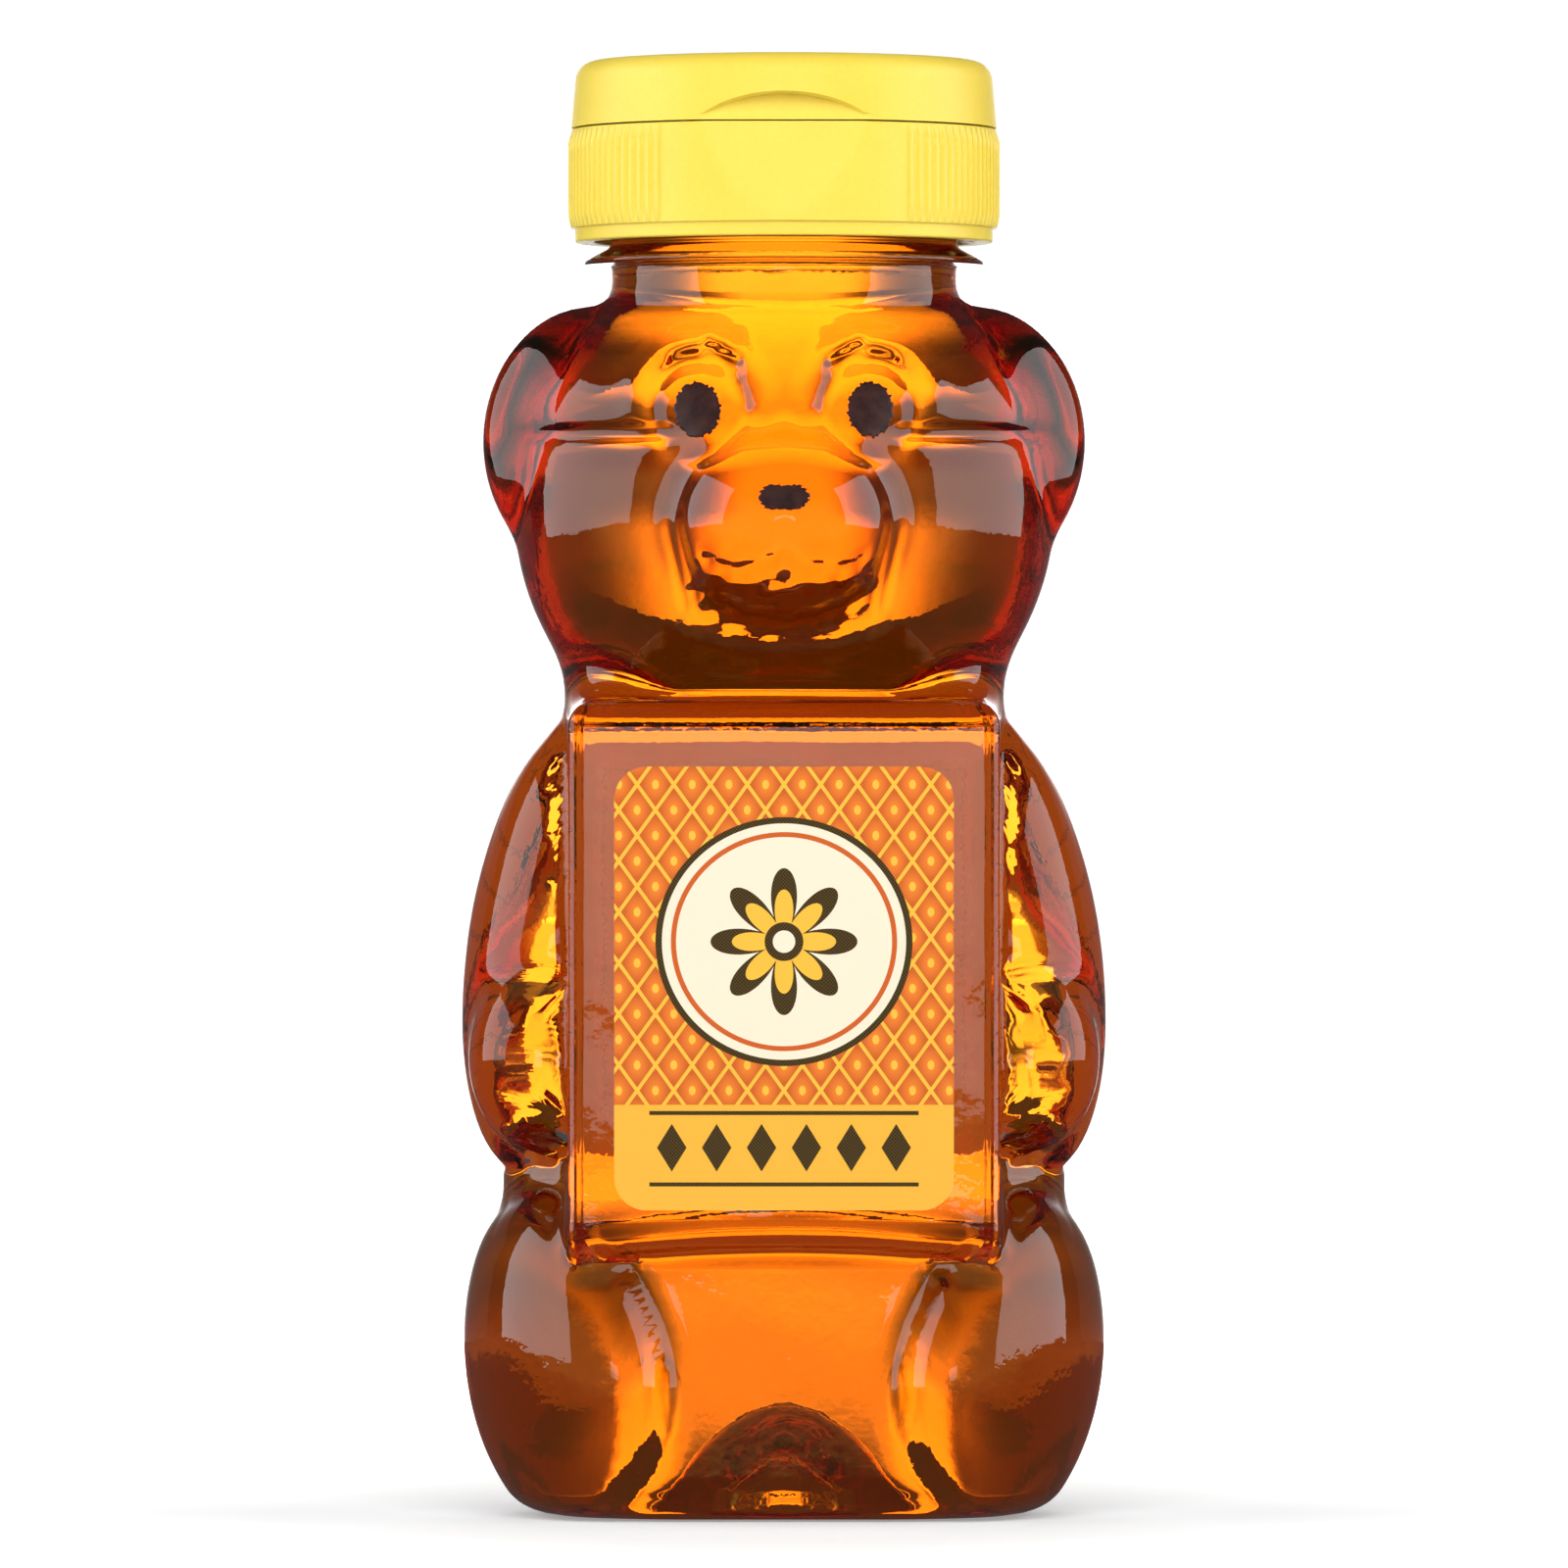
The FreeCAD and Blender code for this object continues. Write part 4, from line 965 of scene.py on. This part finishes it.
def pale_floor():
    """A white matt floor. Seen by the camera it is lifted to white away from the bottle and keeps the shadow
    near it. Gloss sees it dim. Through the honey it is bright in a strip behind the bottle and in front."""
    material, tree = new_material("floor")
    work = arithmetic(tree)
    paths = node(tree, "LightPath").outputs
    place = object_places(tree)
    away = away_from(work, place["X"], place["Y"])
    matt = node(tree, "BsdfDiffuse", {"Color": (0.9, 0.9, 0.9, 1.0)}).outputs[0]
    lift = shine(tree, graded(tree, away, 0.05, 0.25, 0.3, 1.0))
    seen = node(tree, "AddShader", {0: matt, 1: lift}).outputs[0]
    strip = work("MULTIPLY", side_fall(work, place["X"], 0.05), 1.2)
    behind = work("MULTIPLY", strip, graded(tree, place["Y"], 0.06, 0.24))
    before = graded(tree, place["Y"], -0.05, -0.2, 0.1, 0.9)
    far_off = graded(tree, away, 0.15, 0.4, 0.0, 0.12)
    through = work("ADD", work("ADD", behind, before), far_off)
    bright = work("MULTIPLY", through, paths["Is Transmission Ray"])
    dim = work("MULTIPLY", paths["Is Glossy Ray"], 0.06)
    glow = shine(tree, work("ADD", bright, dim))
    bent = work("MAXIMUM", paths["Is Transmission Ray"], paths["Is Glossy Ray"])
    unseen = node(tree, "MixShader", {0: bent, 1: matt, 2: glow}).outputs[0]
    shader = node(tree, "MixShader", {0: paths["Is Camera Ray"], 1: unseen, 2: seen})
    node(tree, "OutputMaterial", {"Surface": shader.outputs[0]})
    return material


def stage_sheet(name, corner, along, up, material):
    """A flat sheet as a grid of 12 by 12 quads from a corner along two edges."""
    side = np.linspace(0.0, 1.0, 13)
    a, b = np.meshgrid(side, side, indexing="ij")
    points = np.array(corner) + a[..., None] * np.array(along) + b[..., None] * np.array(up)
    index = np.arange(a.size).reshape(a.shape)
    quads = np.stack([index[:-1, :-1], index[1:, :-1], index[1:, 1:], index[:-1, 1:]], axis=-1)
    mesh = bpy.data.meshes.new(name)
    mesh.from_pydata(points.reshape(-1, 3).tolist(), [], quads.reshape(-1, 4).tolist())
    mesh.materials.append(material)
    sheet = add_object(name, mesh)
    return sheet


def bright_card(name, depth, card_half_w, card_h, bright_half_w, foot, head, rest):
    """An upright card that shines. Up the card its strength climbs steeply from the foot's value, as far as a
    gentle climb from the head's, and it falls to the rest beyond a half width that is given low and high."""
    material, tree = new_material(name)
    work = arithmetic(tree)
    place = object_places(tree)
    steep_rise, gentle_rise, low_to, high_from = 48.0, 4.0, 0.1, 0.13
    steep = work("ADD", foot, work("MULTIPLY", place["Z"], steep_rise))
    gentle = work("ADD", head, work("MULTIPLY", place["Z"], gentle_rise))
    half_w = graded(tree, place["Z"], low_to, high_from, *bright_half_w)
    level = work("MULTIPLY", work("MINIMUM", steep, gentle), side_fall(work, place["X"], half_w))
    node(tree, "OutputMaterial", {"Surface": shine(tree, work("ADD", level, rest))})
    across, up = (2 * card_half_w, 0.0, 0.0), (0.0, 0.0, card_h)
    card = stage_sheet(name, (-card_half_w, depth, 0.0), across, up, material)
    card.visible_camera = False


def bright_shelf(name, half_w, height, near, far, levels, dark_to):
    """A level card whose top shines from one strength at its near end to another at its far end, and falls
    off to its sides. Its underside is nearly dark up to a depth, and light from below passes it beyond.
    Only light that comes through the bottle meets it."""
    material, tree = new_material(name)
    work = arithmetic(tree)
    place = object_places(tree)
    along = graded(tree, place["Y"], near, far, *levels)
    top = work("MULTIPLY", along, side_fall(work, place["X"], half_w))
    underside = node(tree, "NewGeometry").outputs["Backfacing"]
    level = node(tree, "Mix", {"Factor": underside, "A": top, "B": 0.1}).outputs["Result"]
    passes = work("MULTIPLY", underside, work("GREATER_THAN", place["Y"], dark_to))
    clear = node(tree, "BsdfTransparent").outputs[0]
    shader = node(tree, "MixShader", {0: passes, 1: shine(tree, level), 2: clear})
    node(tree, "OutputMaterial", {"Surface": shader.outputs[0]})
    shelf_half_w = 0.12
    across, away = (2 * shelf_half_w, 0.0, 0.0), (0.0, far - near, 0.0)
    shelf = stage_sheet(name, (-shelf_half_w, near, height), across, away, material)
    shelf.visible_camera = shelf.visible_diffuse = False
    shelf.visible_glossy = shelf.visible_shadow = False


stage_sheet("floor", (-1.5, -1.5, -0.0002), (3.0, 0.0, 0.0), (0.0, 3.0, 0.0), pale_floor())
bright_card(
    "card_behind", depth=0.4, card_half_w=0.5, card_h=0.225,
    bright_half_w=(0.08, 0.13), foot=1.35, head=2.4, rest=0.1,
)
bright_card(
    "card_before", depth=-1.6, card_half_w=0.2, card_h=0.13,
    bright_half_w=(0.4, 0.4), foot=1.2, head=1.4, rest=0.0,
)
bright_shelf("upper_shelf", half_w=0.066, height=0.05, near=0.15, far=0.29, levels=(4.8, 2.4), dark_to=0.15)
bright_shelf("lower_shelf", half_w=0.055, height=0.03, near=0.044, far=0.25, levels=(3.2, 3.2), dark_to=0.09)


def studio_world():
    """Light from all round: white for the camera and dim for gloss. Through the honey the room is dim above
    and behind, and pale near the horizon in front."""
    world = bpy.data.worlds.new("studio")
    world.use_nodes = True
    tree = world.node_tree
    tree.nodes.clear()
    work = arithmetic(tree)
    paths = node(tree, "LightPath").outputs
    way = node(tree, "TexCoord").outputs["Generated"]
    parts = node(tree, "SeparateXYZ", {0: way}).outputs
    ahead = graded(tree, parts["Y"], 0.45, -0.35, 0.0, 0.9)
    low = graded(tree, parts["Z"], 0.2, 0.45, 1.0, 0.0)
    pale = work("ADD", work("MULTIPLY", ahead, low), 0.06)
    through = work("MULTIPLY", pale, paths["Is Transmission Ray"])
    strength = work("ADD", work("ADD", through, 0.04), paths["Is Camera Ray"])
    background = node(tree, "Background", {"Color": white, "Strength": strength})
    node(tree, "OutputWorld", {"Surface": background.outputs[0]})
    return world


def soft_box(name, azimuth, distance, height, width, tall, radiance, in_gloss):
    """An area lamp that looks at the bottle's middle. Its power is its radiance times its area times pi.
    Light through the bottle doesn't meet it, and gloss only where asked."""
    aim_z = 0.07
    lamp = bpy.data.lights.new(name, "AREA")
    lamp.shape = "RECTANGLE"
    lamp.size, lamp.size_y = width, tall
    lamp.energy = radiance * width * tall * math.pi
    made = add_object(name, lamp)
    turn = math.radians(azimuth)
    made.location = (distance * math.sin(turn), -distance * math.cos(turn), height)
    made.rotation_euler = (math.pi / 2 + math.atan2(aim_z - height, distance), 0.0, turn)
    made.visible_transmission = False
    made.visible_glossy = in_gloss


for side, azimuth in (("right", 87.0), ("left", -87.0)):
    name = f"soft_box_{side}"
    soft_box(name, azimuth, distance=0.8, height=0.3, width=0.9, tall=0.7, radiance=2.0, in_gloss=True)
soft_box("fill_light", 0.0, distance=1.6, height=0.9, width=1.4, tall=1.4, radiance=4.4, in_gloss=False)
soft_box("back_light", 180.0, distance=1.6, height=1.0, width=1.2, tall=1.2, radiance=2.4, in_gloss=False)

camera_distance, camera_height = 1.4, 0.0724
lens = bpy.data.cameras.new("camera")
lens.sensor_width = 36.0
lens.lens = 322.4
camera = add_object("camera", lens)
camera.location = (0.0, axis_y * MM - camera_distance, camera_height)
camera.rotation_euler = (math.pi / 2, 0.0, 0.0)
bpy.context.scene.camera = camera
bpy.context.scene.world = studio_world()
bpy.context.scene.view_settings.view_transform = "Standard"
bpy.context.scene.cycles.max_bounces = 32
bpy.context.scene.cycles.transmission_bounces = 32
bpy.context.scene.cycles.glossy_bounces = 16
bpy.context.scene.cycles.diffuse_bounces = 2
